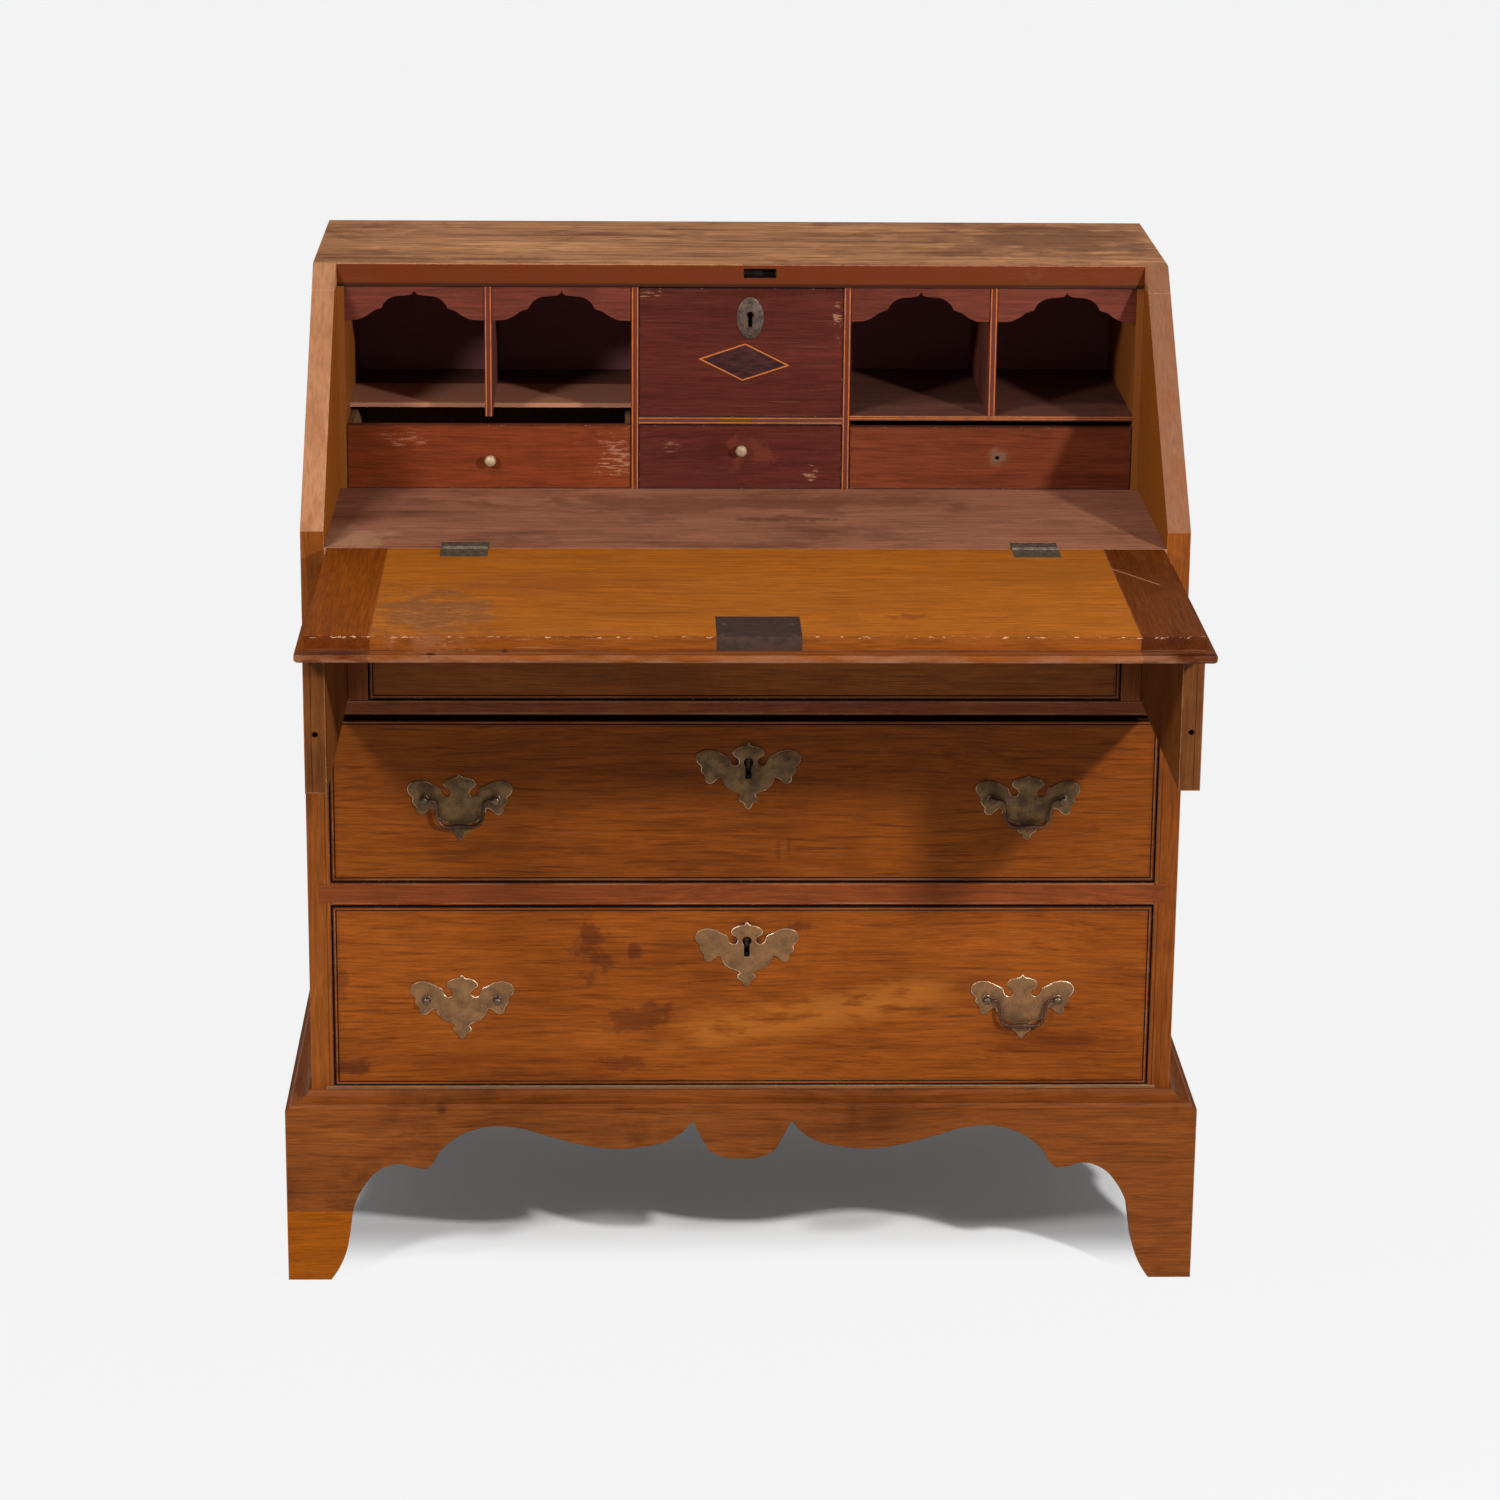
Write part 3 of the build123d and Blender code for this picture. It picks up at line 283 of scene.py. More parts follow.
def make_age():
    """Age on a finish: grime in patches, pale rubbed patches and thin scratches in three directions."""
    effects = ["Grime", "Rub", "Scratches"]
    tree, given, result = group("age", ["Vector"] + effects, effects)
    dirt = cloud(given["Vector"], 9.0, 6.0, 0.65, 0.4)
    spots = cloud(turned(given["Vector"], place=(3, 1, 7)), 42.0, 5.0, 0.6)
    soiled = spread(tally(dirt, (spots, 0.35)), 0.66, 0.92)
    worn = spread(cloud(turned(given["Vector"], place=(11, 4, 2)), 13.0, 7.0, 0.7, 0.3), 0.56, 0.74)
    directions = [((1, 2, 3), (0.2, 0.5, 0.7), (9, 330, 330)), ((5, 1, 9), (0.9, 0.3, 2.3), (12, 410, 410)),
                  ((7, 4, 4), (0.1, 1.2, 0.1), (14, 380, 380))]
    lines = most(*[spread(cloud(turned(given["Vector"], *direction), 1.0, 1.0), 0.68, 0.72)
                   for direction in directions])
    sparse = spread(cloud(turned(given["Vector"], place=(2, 8, 5)), 7.0, 2.0), 0.48, 0.6)
    lines = both(lines, sparse)
    feed(result, {name: both(mask, given[name]) for name, mask in zip(effects, (soiled, worn, lines))})
    return tree


def make_rim():
    """Edges of a squared board. Of its distances to the three pairs of faces the middle one is the distance
    to the nearest edge; noise makes it ragged. Gives that distance, a ragged rim and small chips on it."""
    tree, given, result = group("board rim", ["Vector", "Low", "High", "Width"], ["Edge", "Rim", "Chips"])
    from_low = apart(arrows("SUBTRACT", given["Vector"], given["Low"]))
    from_high = apart(arrows("SUBTRACT", given["High"], given["Vector"]))
    near = [sums("MINIMUM", from_low[number], from_high[number]) for number in range(3)]
    smaller = sums("MINIMUM", near[0], near[1])
    larger = sums("MAXIMUM", near[0], near[1])
    edge = sums("MAXIMUM", smaller, sums("MINIMUM", larger, near[2]))
    ragged = cloud(given["Vector"], 90.0, 5.0, 0.7)
    share = sums("DIVIDE", edge, given["Width"])
    wavy = tally(share, (minus(ragged, 0.5), 3.0))
    specks = spread(cloud(given["Vector"], 260.0, 3.0, 0.6), 0.6, 0.66)
    close = spread(share, 0.3, 1.2, 1.0, 0.0)
    feed(result, {"Edge": edge, "Rim": spread(wavy, 0.2, 1.3, 1.0, 0.0), "Chips": both(specks, close)})
    return tree


def make_patch():
    """A patch with a ragged border: 1 at its place, fading to 0 at its reach, broken by noise, and as far as
    Strokes says made of thin scuffs."""
    tree, given, result = group("patch", ["Vector", "Place", "Reach", "Break", "Grain", "Strokes"], ["Mask"])
    away = arrows("SUBTRACT", given["Vector"], given["Place"])
    away = measure("LENGTH", arrows("DIVIDE", away, given["Reach"]))
    ragged = cloud(given["Vector"], given["Grain"], 5.0, 0.65)
    wavy = both(minus(ragged, 0.5), both(given["Break"], 4.0))
    wavy = sums("ADD", wavy, away)
    whole = spread(wavy, 0.35, 1.05, 1.0, 0.0)
    directions = [((0.3, 0.9, 0.7), (55, 420, 420)), ((0.5, -0.7, 2.2), (70, 380, 380))]
    scuffs = most(*[spread(cloud(turned(given["Vector"], (3, 5, 1), *direction), 1.0, 2.0), 0.56, 0.62)
                    for direction in directions])
    broken = both(whole, scuffs)
    mixed = put("ShaderNodeMix", {0: given["Strokes"], 2: whole, 3: broken})[0]
    feed(result, {"Mask": mixed})
    return tree


timber = make_timber()
age = make_age()
rim = make_rim()
patch = make_patch()

# Turns that lay x of the pattern along each board's grain
ALONG_X = (0, 0, 0)
ALONG_Y = (0, 0, math.pi / 2)
ALONG_Z = (0, math.pi / 2, 0)
edge_round = 0.7 * mm
worn_edge = 1.1 * mm


def dress_node(node, material):
    """Gives a CAD node its finish."""
    slots = nodes[node].data.materials
    slots.clear()
    slots.append(material)


def board(node, tone, grain, seed, figure=0.6, streaks=0.4, lines=0.45, curl=0.0, grime=0.5, rub=0.06,
          scratches=0.05, gloss=0.42, sheen=0.06, edge=0.4, chips=0.3, edge_darkening=0.0, patches=(), dress=None):
    """One board's finish: timber, age, what dress adds to its colour, its own patches, and its worn edges."""
    body = colour(*tone)
    deep = shaded(body, (0.42, 0.36, 0.34))
    bright = shaded(body, (1.45, 1.55, 1.6))
    material, shader = new_material(node + " wood")
    spot = put("ShaderNodeTexCoord", {})["Object"]
    lying = turned(turned(spot, turn=grain), place=(seed * 0.37, seed * 0.91, seed * 0.53))
    cut = placed(timber, {"Vector": lying, "Deep": deep, "Body": body, "Bright": bright, "Figure": figure,
                          "Streaks": streaks, "Lines": lines, "Pores": 0.5, "Curl": curl})
    marks = placed(age, {"Vector": lying, "Grime": grime, "Rub": rub, "Scratches": scratches})
    low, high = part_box(node)
    rims = placed(rim, {"Vector": spot, "Low": tuple(low), "High": tuple(high), "Width": worn_edge})
    shade = painted(cut["Color"], toned(deep, 0.7), marks["Grime"], 0.7)
    shade = painted(shade, toned(bright, 1.3, 0.02), marks["Rub"])
    if dress:
        shade = dress(spot, shade, rims)
    for feeds, patch_tone, strength in patches:
        shade = painted(shade, patch_tone, placed(patch, {"Vector": spot, **feeds})["Mask"], strength)
    # Darker near the board's edges, fading out 9 mm in
    if edge_darkening:
        shade = painted(shade, toned(deep, 0.6), spread(rims["Edge"], 2 * mm, 9 * mm, edge_darkening, 0.0))
    shade = painted(shade, toned(bright, 1.15, 0.035), rims["Rim"], edge)
    shade = painted(shade, colour(170, 124, 88), rims["Chips"], chips)
    shade = painted(shade, colour(170, 120, 84), marks["Scratches"])
    rough = tally(gloss, (cut["Dull"], 0.1), (marks["Grime"], 0.15), (marks["Rub"], 0.2))
    height = tally(cut["Height"], (marks["Scratches"], -0.6), (rims["Chips"], -0.5))
    eased = put("ShaderNodeBevel", {"Radius": edge_round}, samples=4)[0]
    feeds = {"Strength": 0.3, "Distance": 0.4 * mm, "Height": height, "Normal": eased}
    bump = put("ShaderNodeBump", feeds)[0]
    feed(shader, {"Base Color": shade, "Roughness": rough, "Normal": bump, "Specular IOR Level": sheen})
    dress_node(node, material)


def metal(name, tone, dirt_tone, gloss, seed, scale=60.0, metallic=1.0, pits=0.3, rubbed=None):
    """Old metal: clean tone broken by dark patina and pits, duller where it is dark. Rubbed is the pale tone
    laid in patches on the bevels that stand about 0.7 to 1.4 mm in front of the drawer fronts: rubbed brass
    and a painted highlight."""
    material, shader = new_material(name)
    dirt = colour(*dirt_tone)
    spot = turned(put("ShaderNodeTexCoord", {})["Object"], place=(seed, seed, seed))
    patches = cloud(spot, scale, 6.0, 0.65)
    pitting = cloud(spot, scale * 9, 4.0, 0.6)
    mask = tally(patches, (minus(pitting, 0.5), 0.5))
    shade = blend(spread(mask, 0.3, 0.7), colour(*tone), dirt)
    shade = painted(shade, toned(dirt, 0.4), spread(pitting, 0.58, 0.7), pits)
    if rubbed:
        # Pale tone on the bevels, in patches: rubbed brass and a painted highlight
        bevel = line_mask(minus(front + seed, apart(spot)[1]), 1.08 * mm, 0.33 * mm)
        glint_patches = spread(cloud(turned(spot, place=(5, 5, 5)), 55.0, 3.0), 0.48, 0.6, 0.12, 1.0)
        shade = painted(shade, colour(*rubbed), bevel, glint_patches)
    feeds = {"Strength": 0.35, "Distance": 0.3 * mm, "Height": tally(patches, (pitting, 0.6))}
    bump = put("ShaderNodeBump", feeds)[0]
    dull = spread(patches, 0.35, 0.65, gloss, gloss + 0.25)
    feed(shader, {"Base Color": shade, "Roughness": dull, "Normal": bump, "Metallic": metallic})
    return material


# Wood tones
inner_wood = (116, 82, 54)
string_tone = colour(172, 98, 46)
# Dark tone: painted shade in gaps, grooves and recesses, and the dark seams between boards
shade_and_seam_tone = colour(26, 12, 8)
worn_pale = colour(150, 108, 80)
dark_stain = (58, 24, 12)
slant_tone = colour(165, 115, 80)
pale_scuff = (176, 130, 100)


# What single boards carry besides their wood
def scratch(spot, start, end, half_width):
    """A thin line between two points: 1 where t = (p - start) . d / d . d is between 0 and 1 and the
    distance |p - start - t d| is small."""
    start = np.array(place_of(*start))
    along = np.array(place_of(*end)) - start
    length = float(along @ along)
    away = arrows("SUBTRACT", spot, tuple(start))
    share = measure("DOT_PRODUCT", away, tuple(along / length))
    carried = put("ShaderNodeVectorMath", {0: tuple(along), "Scale": share}, operation="SCALE")[0]
    off = measure("LENGTH", arrows("SUBTRACT", away, carried))
    inside = line_mask(share, 0.5, 0.5, 0.1)
    return both(inside, spread(off, half_width * 0.6, half_width * 1.4, 1.0, 0.0))


def on_plane(value, plane, near=0.3, far=0.6):
    """1 where a coordinate is at or below a plane, fading out from near to far millimetres above it."""
    return spread(value, plane + near * mm, plane + far * mm, 1.0, 0.0)


def painted_gap_shade(spot, shade, reach=12.0):
    """Painted shade on the faces behind the front plane, where the gaps round the drawers are, fading
    inwards.
    """
    depth = apart(spot)[1]
    behind = spread(depth, front + 0.4 * mm, front + 0.9 * mm)
    fading = spread(depth, front + 3 * mm, front + reach * mm, 1.0, 0.0)
    return tinted(both(behind, fading), shade, (0.1, 0.08, 0.1, 1))


# Scale of the rubbed patches along the edges of rails and drawer fronts
rubbed_size = (14, 90, 90)


def dress_rail(spot, shade, rims):
    """A rail between drawers with painted shade at its edges and in the gaps, and a rubbed line beside the
    shade.
    """
    rubbed = spread(stretched(spot, rubbed_size), 0.35, 0.65)
    across = unsigned(apart(spot)[0])
    clear = until(across, side_face - 3, side_face)
    line = line_mask(rims["Edge"], 1.9 * mm, 0.7 * mm)
    shade = painted(shade, worn_pale, line, rubbed, clear, 0.5)
    # Painted shade along the rail's edges, where the gaps are
    gap_shade_mask = both(spread(rims["Edge"], 0.7 * mm, 1.2 * mm, 0.8, 0.0), clear)
    return painted_gap_shade(spot, blend(gap_shade_mask, shade, shade_and_seam_tone))


def dress_drawer(spot, shade, rims):
    """A drawer front's edge: painted shade in the groove beside its rubbed bead, at its border and in the gap
    round it.
    """
    # Painted shade in the groove
    groove = line_mask(rims["Edge"], 3.6 * mm, 0.6 * mm)
    shade = painted(shade, shade_and_seam_tone, groove, 0.4)
    bead = line_mask(rims["Edge"], 2.1 * mm, 0.7 * mm)
    rubbed = spread(stretched(spot, rubbed_size), 0.35, 0.65)
    shade = painted(shade, worn_pale, bead, rubbed, 0.4)
    # Painted shade along the front's border, where the gaps are
    gap_shade_mask = spread(rims["Edge"], 0.9 * mm, 1.4 * mm, 0.9, 0.0)
    return painted_gap_shade(spot, blend(gap_shade_mask, shade, shade_and_seam_tone))


def dress_figured_drawer(spot, shade, rims):
    """The lower drawer's light slanting figure to the right of its middle, under the lines of its edge."""
    place = apart(turned(spot, place=(-figure_middle[0] * mm, 0, -figure_middle[1] * mm)))
    band = until(unsigned(tally(place[2], (place[0], -0.19))), 4, 34)
    reach = until(unsigned(place[0]), 90, 190)
    ripple = spread(cloud(turned(spot, turn=(0, 0.35, 0), size=(26, 9, 90)), 1.0, 3.0), 0.36, 0.58)
    shade = painted(shade, colour(166, 98, 34), band, reach, ripple, 0.5)
    return dress_drawer(spot, shade, rims)


def dress_small(spot, shade, rims):
    """Painted shade along the edges of a small drawer's front, where the gaps round it are."""
    # Painted shade along the front's edges
    gap_shade_mask = spread(rims["Edge"], 0.6 * mm, 1.6 * mm, 0.7, 0.0)
    return blend(gap_shade_mask, shade, shade_and_seam_tone)


def dress_prospect(spot, shade, rims):
    """A dark lozenge inside one pale string, on which |x| / half width + |z| / half height is 1."""
    shade = dress_small(spot, shade, rims)
    middle = turned(spot, place=(-lozenge_middle[0] * mm, 0, -lozenge_middle[1] * mm))
    level = apart(turned(middle, turn=(0, -0.072, 0)))
    wide = sums("DIVIDE", unsigned(level[0]), 47.6 * mm)
    high = sums("DIVIDE", unsigned(level[2]), 19.7 * mm)
    lozenge = sums("ADD", wide, high)
    grain = spread(stretched(spot, (60, 60, 260), 3.0), 0.3, 0.7)
    core = blend(grain, colour(30, 18, 22), colour(62, 34, 34))
    shade = blend(spread(lozenge, 0.93, 0.96, 0.9, 0.0), shade, core)
    return painted(shade, string_tone, line_mask(lozenge, 1.0, 0.036), 0.95)


def dress_uprights(spot, shade, rims):
    """Two pale strings down the front of each partition and pigeonhole divider, darker wood behind them, and
    the case's brown on the end boards' inner faces."""
    place = apart(spot)
    across = unsigned(place[0])
    ends = beyond(across, 424, 424.6)
    shade = painted(shade, colour(138, 80, 30), ends, 0.85)
    mask = most(*[line_mask(unsigned(minus(across, middle * mm)), 2.6 * mm, 0.55 * mm)
                  for middle in (114.0, 271.5)])
    faces = on_plane(place[1], gallery_front)
    inner = until(across, 423, 424)
    shade = painted(shade, colour(84, 38, 30), faces, inner, 0.85)
    worn = spread(cloud(spot, 60.0, 3.0), 0.3, 0.6, 0.55, 0.95)
    return painted(shade, string_tone, mask, faces, worn)


def dress_shelves(spot, shade, rims):
    """Pale strings along the front edges of the right shelf and the middle rail; the left shelf has painted
    light.
    """
    place = apart(spot)
    # Painted light: the front part of the left shelf is made lighter
    left = both(on_plane(place[0], -116 * mm), on_plane(place[1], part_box("gallery_shelves")[1].y - 80 * mm))
    shade = painted(shade, colour(190, 130, 100), left, 0.7)
    faces = on_plane(place[1], gallery_front)
    shade = painted(shade, colour(84, 44, 34), faces, 0.7)
    mask = most(*[line_mask(place[2], middle * mm, 0.5 * mm) for middle in (873.2, 878.2, 880.4)])
    worn = spread(cloud(spot, 60.0, 3.0), 0.3, 0.6, 0.5, 0.95)
    return painted(shade, string_tone, mask, faces, worn)


def slanted_faces(place):
    """1 on the slanted front edges, whose plane is (z - slant foot) * cos(slope) - y * sin(slope) = 0."""
    rise = both(minus(place[2], slant_foot * mm), math.cos(slant_slope))
    away = tally(rise, (minus(place[1], front), -math.sin(slant_slope)))
    return until(unsigned(away), 0.5, 0.9)


def rough_slant(spot, place, shade):
    """The bare, rough wood of the slanted edges: pale, browner on the right, with dark flecks and brown
    remains of the finish."""
    flecks = spread(stretched(spot, (420, 60, 60), 5.0, 0.7), 0.3, 0.75)
    brown = spread(cloud(turned(spot, place=(3, 3, 3), size=(60, 16, 16)), 1.0, 5.0, 0.65), 0.4, 0.7)
    pale = blend(beyond(place[0], -1, 1), slant_tone, colour(128, 86, 62))
    pale = tinted(flecks, pale, (0.7, 0.68, 0.68, 1))
    pale = painted(pale, colour(120, 68, 38), brown, 0.5)
    return blend(slanted_faces(place), shade, pale)


def dress_side(spot, shade, rims):
    """A side board's front with painted shade at a bead line and the gaps, its inner face and slanted edge.
    """
    place = apart(spot)
    # Painted shadow line along a bead beside the drawer opening
    bead = line_mask(unsigned(place[0]), 437.5 * mm, 0.6 * mm)
    low = until(place[2], 770, 776)
    mask = both(bead, low, on_plane(place[1], front), 0.5)
    shade = blend(mask, shade, shade_and_seam_tone)
    inner = until(unsigned(place[0]), side_face + 0.2, side_face + 0.8)
    high = beyond(place[2], 799, 801)
    shade = painted(shade, colour(140, 78, 22), inner, high, 0.8)
    below = until(place[2], 777, 779)
    # Painted shade in the gap, on the inner face just behind the front
    shade = painted(shade, painted_gap_shade(spot, shade), inner, below)
    # Painted shade on the front along the opening's edge
    gap_shade_mask = until(unsigned(place[0]), side_face + 0.6, side_face + 1.4)
    shade = painted(shade, shade_and_seam_tone, gap_shade_mask, below, on_plane(place[1], front), 0.8)
    return rough_slant(spot, place, shade)


def dress_top(spot, shade, rims):
    """The top board's finished front face with painted shade at its foot and in the bolt's mortise, its
    rubbed edge and slanted ends.
    """
    place = apart(spot)
    face = front + top_face * mm
    inner = until(unsigned(place[0]), side_face - 1, side_face)
    strip = both(on_plane(place[1], face), inner)
    shade = painted(shade, colour(88, 35, 2), strip, 1.0)
    # Painted shadow along the foot of the front face
    under = both(strip, spread(place[2], 1024 * mm, 1027 * mm, 0.8, 0.0))
    shade = blend(under, shade, shade_and_seam_tone)
    # Painted shade inside the bolt's mortise
    mortise = both(line_mask(place[0], 19.5 * mm, 18 * mm, 0.1), line_mask(place[2], 1037 * mm, 6 * mm, 0.2),
                   spread(place[1], face + 0.3 * mm, face + 0.8 * mm), on_plane(place[1], face + 30 * mm))
    shade = blend(mortise, shade, shade_and_seam_tone)
    ragged = spread(cloud(spot, 110.0, 5.0, 0.7), 0.35, 0.6)
    upper = beyond(place[2], 1045.4, 1046.2)
    arris = both(on_plane(place[1], face, 0.8, 1.8), upper, inner)
    shade = painted(shade, colour(186, 134, 96), arris, ragged, 0.8)
    return rough_slant(spot, place, shade)


def dress_lid(spot, shade, rims):
    """The lid's darker step with chips on its arris, and its brown ledge with painted shade lines and a
    rubbed line.
    """
    place = apart(spot)
    step = on_plane(place[1], front + lid_step * mm)
    shade = tinted(step, shade, (0.55, 0.5, 0.7, 1))
    rubbed = spread(stretched(spot, (20, 90, 90), 4.0, 0.6), 0.35, 0.62)
    ledge = both(step, on_plane(place[2], 787 * mm))
    shade = painted(shade, colour(112, 66, 42), ledge, rubbed, 0.6)
    # Two painted shade lines across the ledge, the first at the foot of the step
    for middle, half in ((-344.4, 1.5), (-357.8, 1.2)):
        line = line_mask(place[1], front + middle * mm, half * mm, 0.5)
        shade = painted(shade, shade_and_seam_tone, ledge, line, 0.5)
    lip = line_mask(place[1], front - 361.2 * mm, 1.3 * mm, 0.5)
    shade = painted(shade, colour(164, 122, 96), lip, rubbed, 0.4)
    specks = spread(stretched(spot, (130, 500, 500), 3.0, 0.6), 0.6, 0.64)
    arris = both(line_mask(place[1], front + (lid_step - 0.1) * mm, 1.4 * mm), beyond(place[2], 797.8, 798.4))
    return painted(shade, colour(196, 156, 120), specks, arris, 0.7)


def dress_cleat(spot, shade, rims):
    """The same step and lip on a cleat, and on the right one a long scratch."""
    shade = dress_lid(spot, shade, rims)
    mark = scratch(spot, (357, -65, 800), (408, -145, 800), 0.8 * mm)
    return painted(shade, colour(*pale_scuff), mark, 0.7)


def dress_back(spot, shade, rims):
    """The joints between the three back boards, and their darkened inner face."""
    place = apart(spot)
    low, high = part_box("back_boards")
    for share in (1 / 3, 2 / 3):
        seam = line_mask(place[2], low.z + (high.z - low.z) * share, 0.9 * mm)
        shade = painted(shade, shade_and_seam_tone, seam, 0.85)
    face = on_plane(place[1], front + 518 * mm)
    return painted(shade, colour(122, 74, 80), face, 0.85)


def dress_loper(spot, shade, rims):
    """A joint down a support's front, where its facing is glued on."""
    place = apart(spot)
    seam = line_mask(unsigned(place[0]), 425.5 * mm, 0.5 * mm)
    shade = tinted(on_plane(place[1], front - 315 * mm), shade, (0.72, 0.72, 0.8, 1))
    return painted(shade, shade_and_seam_tone, seam, 0.6)


def stain(x, y, z, wide, deep, high, tone, strength, broken=0.5, fine=30.0, strokes=0.0):
    """One patch of a board, in millimetres of the case: the patch group's inputs, its tone and strength."""
    reach = (wide * mm, deep * mm, high * mm)
    feeds = {"Place": place_of(x, y, z), "Reach": reach, "Break": broken, "Grain": fine, "Strokes": strokes}
    return feeds, colour(*tone), strength


def blot(x, z, wide, high, strength, broken, fine):
    """A dark stain on the front of a large drawer."""
    return stain(x, 0, z, wide, 30, high, dark_stain, strength, broken, fine)


def nick(x, z, wide, high, tone, strength, broken, fine, strokes=0.0):
    """A mark on the front of a drawer of the gallery."""
    return stain(x, 267, z, wide, 30, high, tone, strength, broken, fine, strokes)


def keyhole_shadow(plate):
    """Dark paint on a drawer front behind its plate's keyhole, which is wider than the hole in the wood."""
    low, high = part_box(plate)
    middle = (low.x + high.x) / 2 / mm
    return stain(middle, 0, low.z / mm + keyhole_shadow_rise, 20, 6, 36, (12, 7, 6), 1.0, 0.0)


# Finishes of the boards
board("left_side", (116, 61, 19), ALONG_Z, 1, edge=0.15, lines=0.35, figure=0.7, dress=dress_side)
board("right_side", (113, 57, 16), ALONG_Z, 2, edge=0.15, lines=0.35, figure=0.7, dress=dress_side)
board("top_board", (184, 126, 84), ALONG_X, 3, figure=1.1, streaks=1.1, lines=1.0, grime=1.0, rub=0.3,
      gloss=0.6, chips=0.5, sheen=0.12, edge=0.12, dress=dress_top,
      patches=[stain(350, 430, 1047, 160, 130, 40, (110, 68, 50), 0.6, 0.9, 18)])
board("writing_board", (139, 89, 67), ALONG_X, 4, grime=0.7, gloss=0.5, figure=0.8, lines=0.7, sheen=0.12,
      patches=[stain(-415, 40, 800, 45, 60, 20, (170, 128, 98), 0.45, 1.0, 24),
               stain(0, 200, 800, 300, 40, 20, (104, 58, 40), 0.6, 1.0, 16),
               stain(40, 130, 800, 60, 16, 20, dark_stain, 0.5, 1.0, 60)])
board("bottom_board", inner_wood, ALONG_X, 5, gloss=0.7)
board("back_boards", inner_wood, ALONG_X, 6, gloss=0.7, edge=0.0, dress=dress_back)
board("rail_upper", (105, 55, 29), ALONG_X, 7, edge=0.0, chips=0.15, dress=dress_rail)
board("rail_middle", (107, 52, 22), ALONG_X, 8, edge=0.0, chips=0.15, dress=dress_rail)
board("loper_dividers", (104, 55, 22), ALONG_Z, 10, edge=0.0)
board("base_front", (111, 58, 20), ALONG_X, 11, figure=0.8, grime=0.8, lines=0.7,
      patches=[stain(-318, -27, 195, 8, 20, 7, dark_stain, 0.7, 0.5, 60)])
board("base_left", (114, 59, 20), ALONG_Y, 12, grime=0.8)
board("base_right", (114, 59, 20), ALONG_Y, 13, grime=0.8)
board("foot_patch", (134, 68, 5), ALONG_X, 14, figure=0.4, grime=0.1, lines=0.3, edge=0.1)
board("lid_field", (152, 84, 21), ALONG_X, 17, figure=0.35, streaks=0.3, grime=0.3, scratches=0.2, chips=0.6,
      dress=dress_lid,
      patches=[stain(-310, -262, 800, 70, 110, 30, (116, 70, 38), 0.8, 0.8, 40),
               stain(-310, -262, 800, 56, 100, 30, (170, 122, 80), 0.3, 0.9, 45, 1.0),
               stain(-205, -140, 800, 120, 60, 30, (128, 66, 26), 0.4, 0.8, 25),
               stain(150, -270, 800, 24, 12, 30, (110, 50, 20), 0.6, 0.8, 60),
               stain(290, -90, 800, 120, 70, 30, (130, 78, 26), 0.4, 0.8, 22),
               stain(-309, -357, 786, 6, 6, 6, (26, 12, 8), 0.8, 0.4, 90),
               stain(-239, -346, 786, 5, 5, 6, (26, 12, 8), 0.8, 0.4, 90)])
board("lid_cleat_left", (118, 57, 6), ALONG_Y, 18, figure=0.4, chips=0.6, dress=dress_cleat,
      patches=[stain(-400, -352, 786, 34, 9, 4, (64, 32, 30), 0.85, 0.15, 30)])
board("lid_cleat_right", (92, 42, 9), ALONG_Y, 19, figure=0.5, chips=0.6, dress=dress_cleat)
board("loper_left", (98, 54, 19), ALONG_Z, 20, dress=dress_loper)
board("loper_right", (97, 54, 21), ALONG_Z, 21, dress=dress_loper)
board("top_drawer_front", (112, 62, 24), ALONG_X, 22, edge_darkening=0.3, edge=0.0, dress=dress_drawer,
      patches=[keyhole_shadow("top_lock_plate")])
board("upper_drawer_front", (112, 56, 12), ALONG_X, 23, lines=0.85, grime=0.3, curl=0.15, edge_darkening=0.3,
      edge=0.0, chips=0.15, dress=dress_drawer,
      patches=[keyhole_shadow("upper_lock_plate"),
               blot(36, 475, 4, 16, 0.35, 0.7, 60),
               blot(47, 480, 3, 14, 0.35, 0.7, 60)])
board("lower_drawer_front", (124, 62, 15), ALONG_X, 24, figure=0.65, lines=0.85, grime=0.35, curl=0.35,
      edge_darkening=0.3, edge=0.0, chips=0.15, dress=dress_figured_drawer,
      patches=[keyhole_shadow("lower_lock_plate"),
               blot(-161, 376, 24, 36, 0.55, 0.9, 40),
               blot(-114, 362, 11, 11, 0.6, 0.8, 60),
               blot(-112, 288, 40, 18, 0.45, 1.0, 35),
               blot(-116, 236, 34, 10, 0.45, 1.0, 40),
               blot(-416, 232, 22, 10, 0.6, 0.8, 40),
               blot(-425, 330, 12, 30, 0.4, 1.0, 35),
               blot(62, 390, 20, 6, 0.5, 0.7, 60)])
board("gallery_uprights", (106, 58, 46), ALONG_Z, 25, edge=0.0, dress=dress_uprights)
board("gallery_shelves", (98, 61, 50), ALONG_X, 26, edge=0.0, dress=dress_shelves)
board("valances", (92, 43, 32), ALONG_X, 27, edge=0.0)
board("left_small_front", (107, 47, 22), ALONG_X, 28, edge=0.1, dress=dress_small,
      patches=[nick(-137, 836, 20, 28, pale_scuff, 0.4, 0.9, 60, 1.0),
               nick(-360, 855, 30, 12, pale_scuff, 0.25, 0.9, 60, 1.0)])
board("centre_small_front", (76, 31, 23), ALONG_X, 29, edge=0.1, dress=dress_small,
      patches=[nick(-74, 846, 12, 8, pale_scuff, 0.35, 0.6, 60, 1.0),
               nick(76, 818, 10, 9, pale_scuff, 0.5, 0.6, 60, 1.0),
               nick(12, 840, 34, 16, (112, 52, 36), 0.35, 0.9, 40)])
